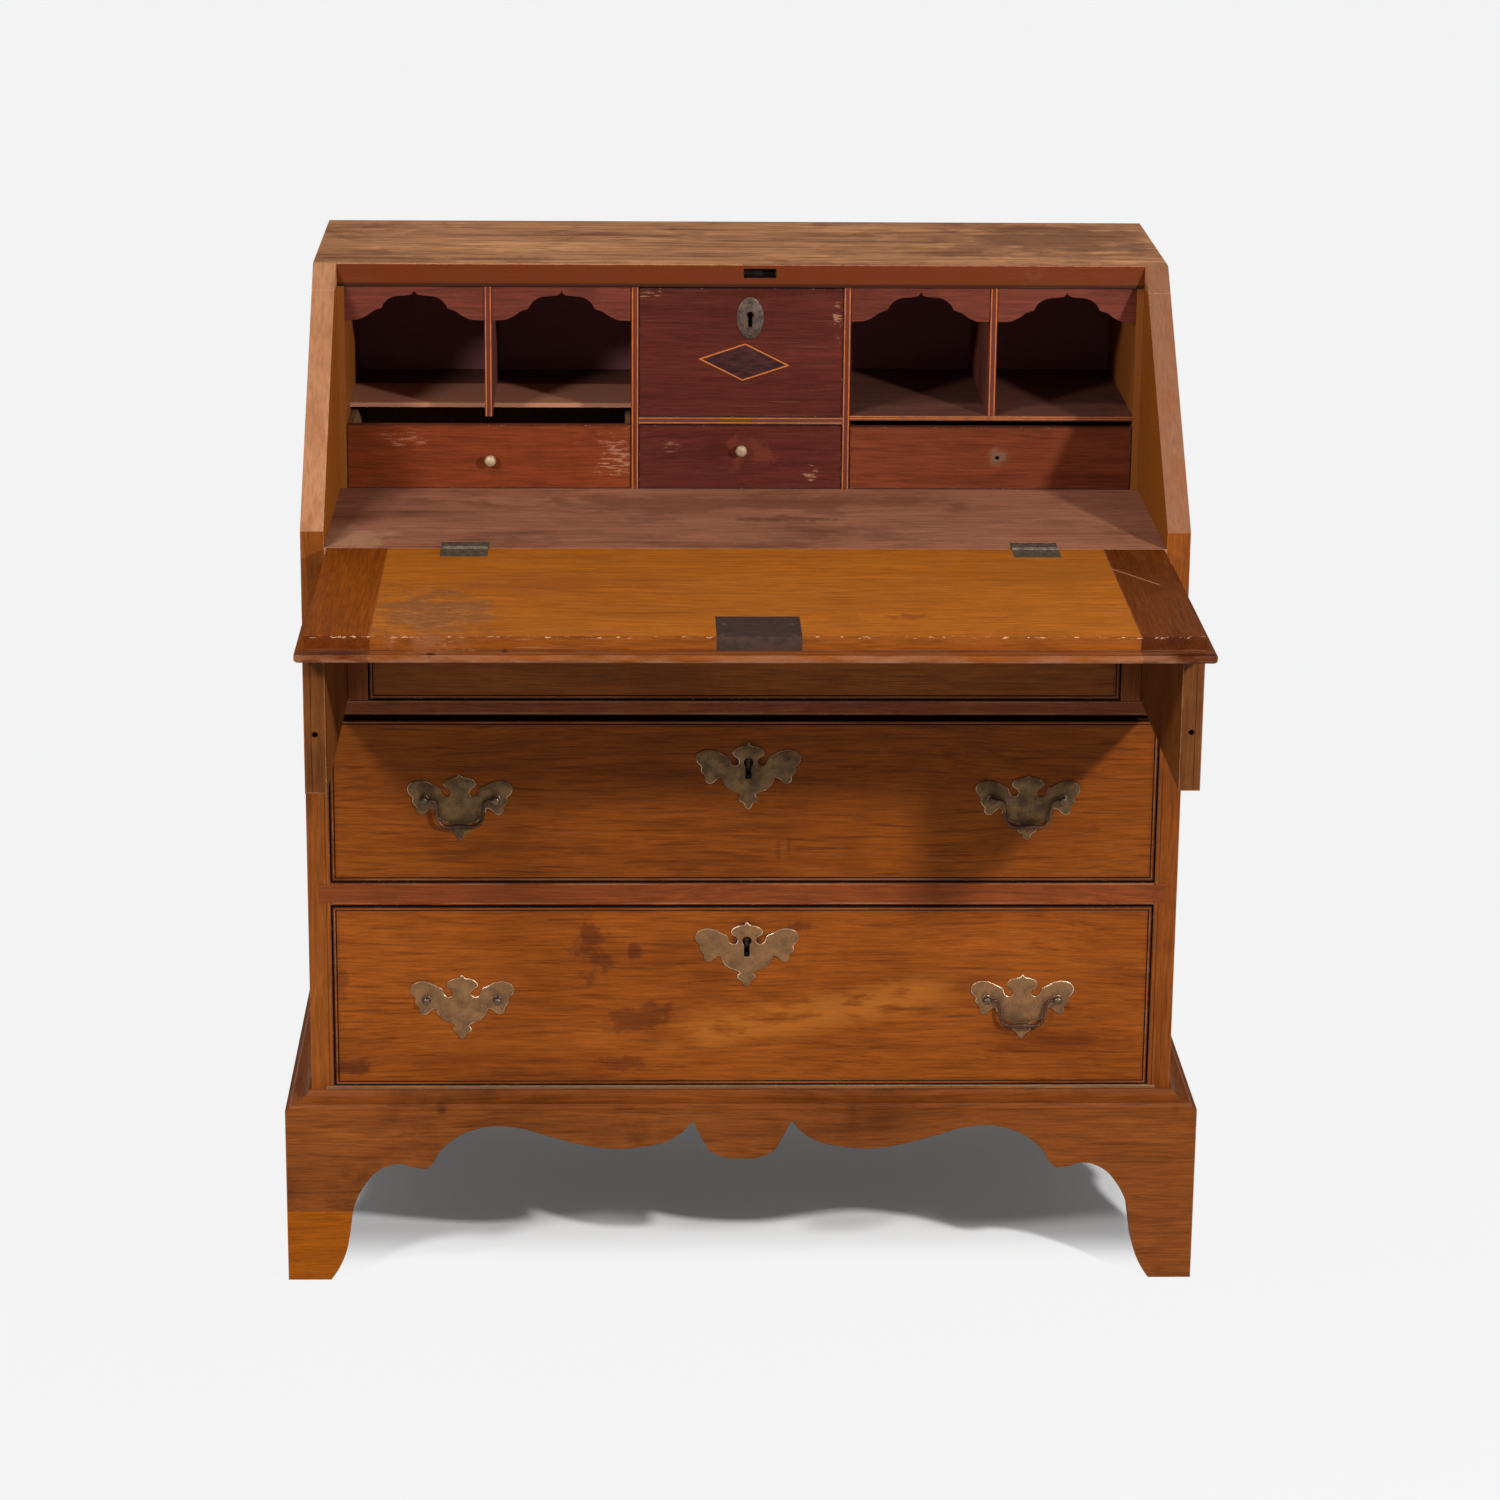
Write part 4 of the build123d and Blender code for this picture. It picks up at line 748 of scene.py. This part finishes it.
board("right_small_front", (101, 47, 26), ALONG_X, 30, edge=0.1, dress=dress_small,
      patches=[nick(279, 836, 13, 11, (104, 80, 62), 0.6, 0.5, 60)])
board("prospect_front", (75, 30, 22), ALONG_X, 31, edge=0.15, dress=dress_prospect,
      patches=[nick(-100, 1014, 16, 5, pale_scuff, 0.4, 0.7, 60, 1.0),
               nick(103, 990, 5, 26, pale_scuff, 0.4, 0.7, 60, 1.0)])
hidden = [("runners", ALONG_Y, 9), ("rear_brackets", ALONG_X, 15), ("glue_blocks", ALONG_Z, 16)]
boxes = ["top_drawer", "upper_drawer", "lower_drawer"]
boxes += ["left_small", "centre_small", "right_small", "prospect"]
hidden += [(name + "_box", ALONG_Y, 40 + number) for number, name in enumerate(boxes)]
for name, grain, seed in hidden:
    board(name, inner_wood, grain, seed, gloss=0.7, edge=0.0)

# The two drawers under the lid get a darker copy of the brass: painted shade
shaded_brass = metal("shaded brass", (104, 76, 42), (70, 50, 30), 0.36, 1, metallic=0.7, pits=0.12,
                   rubbed=(196, 168, 134))
bright_brass = metal("bright brass", (138, 98, 60), (102, 72, 46), 0.36, 2, metallic=0.7, pits=0.12,
                     rubbed=(226, 200, 170))
post_brass = metal("post brass", (110, 88, 66), (62, 48, 40), 0.34, 5, metallic=0.75, pits=0.1)
bail_brass = metal("handled brass", (100, 68, 50), (48, 32, 26), 0.3, 3, metallic=0.8, pits=0.1)
iron = metal("brown iron", (76, 52, 42), (52, 35, 29), 0.5, 2, scale=90.0, metallic=0.6, pits=0.3)
worn_iron = metal("worn iron", (112, 98, 80), (58, 50, 42), 0.45, 4, scale=150.0, metallic=0.6, pits=0.8)
oval_iron = metal("oval plate", (96, 78, 66), (54, 42, 38), 0.4, 6, scale=150.0, metallic=0.6, pits=0.5)
pale_knob = metal("pale knob", (178, 152, 120), (120, 94, 68), 0.45, 3, scale=120.0, metallic=0.2)
row_brass = {"top": shaded_brass, "upper": shaded_brass, "lower": bright_brass}
for name in ("case_hinge_leaves", "lid_hinge_leaves", "hinge_pins"):
    dress_node(name, worn_iron)
dress_node("lid_lock", iron)


# Forms worked out as whole arrays: each gives its points, the corners of its faces and their counts
def skin(rings, around):
    """Faces of a closed tube of rings: squares join each ring to the next, and the end rings get lids."""
    number = np.arange(rings * around).reshape(rings, around)
    beside = np.roll(number, -1, axis=1)
    squares = np.stack([number[:-1], beside[:-1], beside[1:], number[1:]], axis=-1)
    corners = np.concatenate([squares.ravel(), number[0][::-1], number[-1]])
    return corners, np.append(np.full((rings - 1) * around, 4), [around, around])


def lathe_form(profile, foot, toward=(0, -1, 0), sides=40):
    """Lathe work: point = foot + length * toward + radius * (cos(turn) * side + sin(turn) * up)."""
    toward = np.array(toward, float)
    side = np.cross(toward, (0, 0, 1)) if abs(toward[2]) < 0.9 else np.array((1.0, 0, 0))
    up = np.cross(toward, side)
    radius, length = (np.array(profile, float) * mm).T
    turn = np.arange(sides) * 2 * math.pi / sides
    around = np.cos(turn)[:, None] * side + np.sin(turn)[:, None] * up
    points = np.array(foot) + length[:, None, None] * toward + radius[:, None, None] * around
    return points.reshape(-1, 3), *skin(len(profile), sides)


def block_form(low, high, ease=0.5):
    """A squared block: a rectangle carried from front to back, smaller by the ease at both ends."""
    low = np.array(low, float)
    high = np.array(high, float)
    ease = ease * mm
    depth = np.array([low[1], low[1] + ease, high[1] - ease, high[1]])
    inset = np.array([ease, 0, 0, ease])[:, None]
    x = np.array([low[0], low[0], high[0], high[0]]) + inset * np.array([1, 1, -1, -1])
    z = np.array([low[2], high[2], high[2], low[2]]) + inset * np.array([1, -1, -1, 1])
    y = np.broadcast_to(depth[:, None], x.shape)
    return np.stack([x, y, z], axis=-1).reshape(-1, 3), *skin(4, 4)


def smooth_line(points, steps):
    """A curve through points: between two of them a cubic, its end slopes half the way between neighbours."""
    points = np.array(points, float)
    padded = np.vstack([2 * points[0] - points[1], points, 2 * points[-1] - points[-2]])
    before, start, end, after = padded[:-3, None], padded[1:-2, None], padded[2:-1, None], padded[3:, None]
    t = (np.arange(steps) / steps)[None, :, None]
    curve = 0.5 * (2 * start + (end - before) * t + (2 * before - 5 * start + 4 * end - after) * t ** 2
                   + (3 * start - before - 3 * end + after) * t ** 3)
    return np.vstack([curve.reshape(-1, points.shape[1]), points[-1:]])


def rod_form(line, deep, high, sides=18):
    """A rod along a line of constant y: point = line + deep * cos(turn) * y axis + high * sin(turn) * b,
    where b is the tangent crossed with the y axis."""
    tangent = np.gradient(line, axis=0)
    tangent = tangent / np.linalg.norm(tangent, axis=1)[:, None]
    normal = np.array([0.0, 1.0, 0.0])
    across = np.cross(tangent, normal)
    turn = np.arange(sides) * 2 * math.pi / sides
    ring = deep[:, None, None] * np.cos(turn)[None, :, None] * normal
    ring = ring + high[:, None, None] * np.sin(turn)[None, :, None] * across[:, None, :]
    return (line[:, None, :] + ring).reshape(-1, 3), *skin(len(line), sides)


def softened(outline):
    """Rounds a closed outline: new points a quarter and three quarters along every side replace the old."""
    after = np.roll(outline, -1, axis=0)
    pairs = [0.75 * outline + 0.25 * after, 0.25 * outline + 0.75 * after]
    return np.stack(pairs, axis=1).reshape(-1, 2)


def drawn_in(outline, amount):
    """An anticlockwise outline moved inwards: each point goes along the mean normal of its two sides."""
    side = np.roll(outline, -1, axis=0) - outline
    side = side / np.linalg.norm(side, axis=1)[:, None]
    normal = np.stack([-side[:, 1], side[:, 0]], axis=1)
    mean = normal + np.roll(normal, 1, axis=0)
    return outline + mean / np.linalg.norm(mean, axis=1)[:, None] * amount


def plate_form(outline, middle, thick, bevel, hole=None):
    """A flat plate in millimetres: its anticlockwise outline carried forward and drawn in over the bevel, the
    same for its hole, and a front and a back face between them, cut into triangles."""
    carried = [(0.0, 0.0), (thick - bevel * 0.7, 0.0), (thick - bevel * 0.2, bevel * 0.45), (thick, bevel)]
    loops = [outline] if hole is None else [outline, hole]
    points, corners, counts, grids = [], [], [], []
    start = 0
    for loop, inward in zip(loops, (1.0, -0.4)):
        count = len(loop)
        for forward, inset in carried:
            ring = drawn_in(loop, inset * inward)
            points.append(np.stack([ring[:, 0], np.full(count, -forward), ring[:, 1]], axis=1))
        grid = start + np.arange(len(carried) * count).reshape(len(carried), count)
        beside = np.roll(grid, -1, axis=1)
        order = [grid[:-1], beside[:-1], beside[1:], grid[1:]]
        squares = np.stack(order if inward > 0 else order[::-1], axis=-1)
        corners.append(squares.ravel())
        counts.append(np.full(squares.size // 4, 4))
        grids.append(grid)
        start += grid.size
    points = np.vstack(points)
    for row, facing in ((-1, 1), (0, -1)):
        numbers = np.concatenate([grid[row] for grid in grids])
        flats = [points[grid[row]][:, [0, 2]] for grid in grids]
        solid = [list(map(Vector, np.insert(flat, 2, 0.0, axis=1))) for flat in flats]
        cut = np.array(tessellate_polygon(solid))
        flat = np.vstack(flats)
        first = flat[cut[:, 1]] - flat[cut[:, 0]]
        second = flat[cut[:, 2]] - flat[cut[:, 0]]
        wrong = (first[:, 0] * second[:, 1] - first[:, 1] * second[:, 0]) * facing < 0
        cut[wrong] = cut[wrong][:, ::-1]
        corners.append(numbers[cut].ravel())
        counts.append(np.full(len(cut), 3))
    return points * mm + np.array(middle), np.concatenate(corners), np.concatenate(counts)


def in_scene(name, data):
    """A new object in the scene."""
    made = bpy.data.objects.new(name, data)
    bpy.context.scene.collection.objects.link(made)
    return made


def make_piece(name, forms, material, body, replaced=None):
    """Joins forms into one mesh piece with the given finish, riding on a body; a CAD node it replaces is
    hidden.
    """
    points = np.vstack([form[0] for form in forms])
    starts = np.cumsum([0] + [len(form[0]) for form in forms[:-1]])
    corners = np.concatenate([form[1] + start for form, start in zip(forms, starts)])
    counts = np.concatenate([form[2] for form in forms])
    mesh = bpy.data.meshes.new(name)
    mesh.from_pydata(points, [], np.split(corners, np.cumsum(counts)[:-1]))
    mesh.shade_smooth()
    mesh.set_sharp_from_angle(angle=math.radians(32))
    mesh.materials.append(material)
    piece = in_scene(name, mesh)
    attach(piece, body)
    if replaced:
        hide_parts(replaced)


# Brasses of the large drawers, in millimetres
# Outline of one half of a plate, in shares of its half width, from the top point down
plate_shares = [
    (0.0, 0.51), (0.05, 0.435), (0.14, 0.425), (0.24, 0.392), (0.31, 0.318), (0.295, 0.245), (0.21, 0.205),
    (0.167, 0.127), (0.209, 0.058), (0.282, 0.047), (0.345, 0.1), (0.373, 0.225), (0.47, 0.26),
    (0.6, 0.34), (0.745, 0.375), (0.9, 0.345), (0.985, 0.265),
    (1.0, 0.17), (0.955, 0.084), (0.882, 0.027), (0.909, -0.05), (0.86, -0.12), (0.809, -0.173),
    (0.829, -0.245), (0.76, -0.315), (0.68, -0.305), (0.627, -0.247), (0.57, -0.2), (0.498, -0.175),
    (0.48, -0.282), (0.409, -0.382), (0.309, -0.451), (0.2, -0.48), (0.12, -0.538), (0.182, -0.58),
    (0.175, -0.65), (0.084, -0.695), (0.062, -0.764), (0.0, -0.836),
]
plate_half = 55.0
plate_foot = 0.836 * plate_half
plate_thick = 1.5
plate_bevel = 0.9
keyhole_rise = 0.11 * plate_half
post_space = 37.5
shank_half = 2.2
nut_half = 5.5
nut_thick = 3.0
eye_reach = 7.0
lock_plate_half = 33.0
lock_plate_front = 20.0
lock_plate_back = 22.0
lock_box_half = 29.0
lock_box_front = 10.2
lock_screw_places = [(-27.0, -15.0), (-27.0, 12.0), (27.0, -15.0), (27.0, 12.0)]
lock_pin_places = [(-42.0, 9.0), (42.0, 9.0), (0.0, -38.0)]
oval_pin_places = [(0, 17.5), (0, -17.5), (-11, 2), (11, 2)]
pull_pin_drop = 36
post_profile = [(5.2, 0.0), (5.2, 0.6), (4.6, 1.1), (3.5, 1.5), (3.2, 2.4), (3.7, 3.4), (4.2, 4.6),
                (4.2, 6.9), (3.7, 8.2), (2.5, 9.1), (1.0, 9.5), (0.1, 9.5)]
bail_bends = [(41.5, 0.0), (37.5, 0.0), (33.0, 0.0), (29.0, 0.0), (26.4, -2.2), (25.0, -7.0), (24.0, -16.0),
              (22.2, -22.0), (18.6, -26.6), (12.5, -28.4), (0.0, -28.4)]
pin_profile = [(1.3, 0.0), (1.3, 0.25), (0.8, 0.5), (0.1, 0.55)]
screw_profile = [(2.6, 0.0), (2.5, 0.35), (1.6, 0.6), (0.1, 0.65)]


def plate_outline():
    """The whole outline of a plate, anticlockwise."""
    right = np.array(plate_shares) * plate_half
    left = right[-2:0:-1] * (-1, 1)
    return softened(np.vstack([right, left]))[::-1]


def keyhole_outline(height, radius=5.0, slot=6.4, drop=17.5):
    """A keyhole: an arc round its centre and a slot below it."""
    half = slot / 2
    start = math.asin(half / radius)
    turn = np.linspace(-math.pi / 2 + start, 1.5 * math.pi - start, 25)
    arc = np.stack([radius * np.cos(turn), height + radius * np.sin(turn)], axis=1)
    return np.vstack([arc, [(-half, height - drop), (half, height - drop)]])


def work_pulls(row, half, height):
    """The two pull plates of one drawer, each with a pin in its foot."""
    forms = []
    for x in (-half, half):
        forms.append(plate_form(plate_outline(), place_of(x, 0, height), plate_thick, plate_bevel))
        forms.append(lathe_form(pin_profile, place_of(x, -plate_thick, height - pull_pin_drop), sides=14))
    name = row + "_plates_bevelled"
    make_piece(name, forms, row_brass[row], row + "_drawer", row + "_pull_plates")


def work_posts(row, half, height):
    """Four turned posts with their shanks and square nuts."""
    forms = []
    back = (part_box(row + "_posts")[1].y - front) / mm
    inner = back - nut_thick
    for x in (-half - post_space, -half + post_space, half - post_space, half + post_space):
        forms.append(lathe_form(post_profile, place_of(x, -plate_thick, height)))
        for size, near, far, ease in ((shank_half, -plate_thick, inner, 0.2), (nut_half, inner, back, 0.8)):
            low = place_of(x - size, near, height - size)
            forms.append(block_form(low, place_of(x + size, far, height + size), ease))
    make_piece(row + "_posts_turned", forms, post_brass, row + "_drawer", row + "_posts")


def work_bail(node, x, height):
    """A cast bail: its radii swell to the middle of the grip with exp(-(x / 11)^2)."""
    right = np.array(bail_bends)
    line = smooth_line(np.vstack([right * (-1, 1), right[-2::-1]]), 6)
    swell = np.exp(-(line[:, 0] / 11.0) ** 2)
    deep = (1.75 + 0.6 * swell) * mm
    high = (1.75 + 1.2 * swell) * mm
    line = np.stack([line[:, 0], np.full(len(line), -eye_reach), line[:, 1]], axis=1) * mm
    line = line + np.array(place_of(x, 0, height))
    make_piece(node + "_cast", [rod_form(line, deep, high)], bail_brass, node, node)


def work_lock_plate(row):
    """The keyhole plate with its pins, and the lock's works behind it with their screws."""
    low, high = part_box(row + "_lock_plate")
    x = (low.x + high.x) / 2 / mm
    middle = low.z / mm + plate_foot
    top = high.z / mm
    lock = middle + keyhole_rise
    hole = keyhole_outline(keyhole_rise)
    forms = [plate_form(plate_outline(), place_of(x, 0, middle), plate_thick, plate_bevel, hole)]
    for step_x, step_z in lock_pin_places:
        forms.append(lathe_form(pin_profile, place_of(x + step_x, -plate_thick, middle + step_z), sides=14))
    for half, near, far, down, short, ease in (
            (lock_plate_half, lock_plate_front, lock_plate_back, 20, 0, 0.4),
            (lock_box_half, lock_box_front, lock_plate_front, 17, 1, 0.8)):
        low_corner = place_of(x - half, near, lock - down)
        forms.append(block_form(low_corner, place_of(x + half, far, top - short), ease))
    for step_x, step_z in lock_screw_places:
        foot = place_of(x + step_x, lock_plate_back, lock + step_z)
        forms.append(lathe_form(screw_profile, foot, (0, 1, 0), 16))
    node = row + "_lock_plate"
    make_piece(node + "_bevelled", forms, row_brass[row], row + "_drawer", node)


def fit_brasses():
    """Plates, posts, bails and keyhole plates of the three large drawers."""
    for row in ("top", "upper", "lower"):
        low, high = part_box(row + "_pull_plates")
        height = low.z / mm + plate_foot
        half = high.x / mm - plate_half
        work_pulls(row, half, height)
        work_posts(row, half, height)
        work_lock_plate(row)
        for side, x in (("left", -half), ("right", half)):
            node = row + "_bail_" + side
            if node in nodes:
                work_bail(node, x, height)


def fit_knobs():
    """The two small knobs, turned."""
    head = [(3.6, 0.0), (3.6, 0.8), (2.9, 1.6), (2.6, 3.4), (3.2, 5.0), (4.8, 6.2), (6.0, 8.0), (6.3, 9.6),
            (6.0, 11.4), (4.6, 13.0), (2.4, 13.8), (0.1, 14.0)]
    shaft = [(2.0, 0.0), (2.0, 9.8), (0.2, 10.0)]
    for side in ("left", "centre"):
        middle = middle_of(side + "_knob")
        foot = (middle.x, gallery_front, middle.z)
        forms = [lathe_form(head, foot), lathe_form(shaft, foot, (0, 1, 0), 16)]
        node = side + "_knob"
        make_piece(node + "_turned", forms, pale_knob, side + "_small_drawer", node)


def fit_oval():
    """The oval keyhole plate with its four pins: an ellipse carried forward over a bevel."""
    low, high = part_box("prospect_escutcheon")
    half_wide = (high.x - low.x) / 2 / mm
    half_high = (high.z - low.z) / 2 / mm
    middle = (low + high) / 2
    turn = np.arange(72) * 2 * math.pi / 72
    outline = np.stack([half_wide * np.cos(turn), half_high * np.sin(turn)], axis=1)
    thick = (gallery_front - low.y) / mm
    hole = keyhole_outline(3.2, 3.8, 4.4, 13.0)
    forms = [plate_form(outline, (middle.x, gallery_front, middle.z), thick, 0.8, hole)]
    for step_x, step_z in oval_pin_places:
        foot = (middle.x + step_x * mm, low.y, middle.z + step_z * mm)
        forms.append(lathe_form(pin_profile, foot, sides=14))
    make_piece("prospect_escutcheon_bevelled", forms, oval_iron, "prospect_drawer",
               "prospect_escutcheon")


def screw_forms(x, y, z, turn, radius=2.6):
    """A countersunk screw head seen from above as two half discs with the slot between them: arc points
    (cos(a), sin(a)) * radius, moved off the slot by 0.28 mm, at three heights."""
    first = np.array((math.cos(turn), math.sin(turn), 0))
    second = np.array((-math.sin(turn), math.cos(turn), 0))
    angle = np.linspace(0, math.pi, 11)
    size = np.array([1.0, 1.0, 0.86])[:, None, None]
    rise = np.array([-0.4, 0.05, 0.15])[:, None, None] * np.array((0, 0, 1.0))
    forms = []
    for side in (1, -1):
        along = (np.sin(angle)[:, None] * radius * size + 0.28) * side
        points = np.cos(angle)[:, None] * radius * size * first + along * second + rise
        points = points[:, ::side] * mm + np.array((x, y, z))
        forms.append((points.reshape(-1, 3), *skin(3, 11)))
    return forms


def fit_screws():
    """Screws of the hinge leaves and of the lid's lock plate."""
    case_forms, lid_forms = [], []
    leaf_top = desk_top - 0.2 * mm
    low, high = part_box("case_hinge_leaves")
    half_leaf = 24.0
    for middle in (low.x / mm + half_leaf, high.x / mm - half_leaf):
        for number, (step, behind, before) in enumerate(((-17, 14, 16), (0, 21, 25), (17, 14, 16))):
            x = (middle + step) * mm
            case_forms += screw_forms(x, front + behind * mm, leaf_top, number)
            lid_forms += screw_forms(x, front - before * mm, leaf_top, number + 2)
    lock_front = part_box("lid_lock")[0].y
    for number, (x, y) in enumerate(((-30.0, 46.0), (34.4, 46.0), (-33.0, 5.0), (36.4, 5.0))):
        lid_forms += screw_forms(x * mm, lock_front + y * mm, desk_top - 0.05 * mm, number * 1.3, 2.2)
    make_piece("case_hinge_screws", case_forms, worn_iron, "case")
    make_piece("lid_screws", lid_forms, worn_iron, "lid")


def fit_nails():
    """Nails through the back boards into the sides, the writing board and the bottom: low domes in rows."""
    low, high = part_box("back_boards")
    head = [(2.4, 0.0), (2.3, 0.3), (1.4, 0.55), (0.1, 0.6)]
    upright = np.linspace(low.z + 50 * mm, high.z - 50 * mm, 12)
    level = np.linspace(low.x + 100 * mm, high.x - 100 * mm, 6)
    places = [(x, z) for z in upright for x in (low.x + 6 * mm, high.x - 6 * mm)]
    places += [(x, middle_of(node).z) for x in level for node in ("writing_board", "bottom_board")]
    forms = [lathe_form(head, (x, high.y, z), (0, 1, 0), 12) for x, z in places]
    make_piece("back_nails", forms, iron, "case")


fit_brasses()
fit_knobs()
fit_oval()
fit_screws()
fit_nails()


# Floor, light and camera
def lay_floor():
    """A wide pale floor: plain with a faint bluish glow under the desk, and glowing evenly beside, before and
    behind it.
    """
    mesh = bpy.data.meshes.new("floor")
    mesh.from_pydata([(-40, -40, 0), (40, -40, 0), (40, 60, 0), (-40, 60, 0)], [], [(0, 1, 2, 3)])
    floor = in_scene("floor", mesh)
    material, shader = new_material("pale floor")
    spot = apart(put("ShaderNodeTexCoord", {})["Object"])
    near, far = 0.03, 0.42
    beside = spread(unsigned(spot[0]), 0.42, 0.49)
    glow = most(beside, spread(most(minus(near, spot[1]), minus(spot[1], far)), 0.0, 0.12))
    plain = blend(glow, (0.84, 0.84, 0.84, 1), (0.02, 0.02, 0.02, 1))
    # Glow: even away from the desk, and under it a faint bluish glow that lifts and greys the shade
    shine = blend(glow, (0.018, 0.034, 0.042, 1), (0.882, 0.884, 0.884, 1))
    feed(shader, {"Base Color": plain, "Emission Color": shine, "Emission Strength": 1.0, "Roughness": 0.9,
                  "Specular IOR Level": 0.0})
    mesh.materials.append(material)


def turn_of(axis, angle):
    """A turn about an axis."""
    return Matrix.Rotation(angle, 4, axis)


def hang_sun(name, across, up, strength, softness):
    """A soft far light: across is its angle from straight in front towards the right, up its height angle."""
    light = bpy.data.lights.new(name, "SUN")
    light.energy = strength
    light.angle = math.radians(softness)
    turn = turn_of("Z", math.radians(across)) @ turn_of("X", math.radians(90 - up))
    in_scene(name, light).matrix_world = turn


def stand_lamp(name, place, power, radius):
    """A round studio lamp near the desk."""
    light = bpy.data.lights.new(name, "POINT")
    light.energy = power
    light.shadow_soft_size = radius
    lamp = in_scene(name, light)
    lamp.location = place
    lamp.visible_camera = False


def light_scene():
    """A near lamp on each side of the front, a far one above on the left, and faint even sky light."""
    world = bpy.data.worlds.new("studio")
    bpy.context.scene.world = world
    world.use_nodes = True
    sky = world.node_tree.nodes["Background"]
    sky.inputs[0].default_value = (1, 1, 1, 1)
    sky.inputs[1].default_value = 0.25
    stand_lamp("right lamp", place_of(1255, -1463, 1534), 175, 0.07)
    stand_lamp("left lamp", place_of(-1173, -1463, 1666), 110, 0.16)
    hang_sun("top lamp", -30, 60, 0.7, 7)


def place_camera():
    """The photograph's camera, fitted to corners of the desk."""
    data = bpy.data.cameras.new("camera")
    data.sensor_width = 36
    data.lens = 103.34
    data.clip_end = 200
    camera = in_scene("camera", data)
    place = Matrix.Translation((-0.12799, -4.28962 + front, 1.87457))
    aside, downward, tilt = -0.03108, 0.29205, 0.00945
    turn = turn_of("Z", aside) @ turn_of("X", math.pi / 2 - downward) @ turn_of("Z", tilt)
    camera.matrix_world = place @ turn
    bpy.context.scene.camera = camera


lay_floor()
light_scene()
place_camera()
bpy.context.scene.view_settings.view_transform = "Standard"
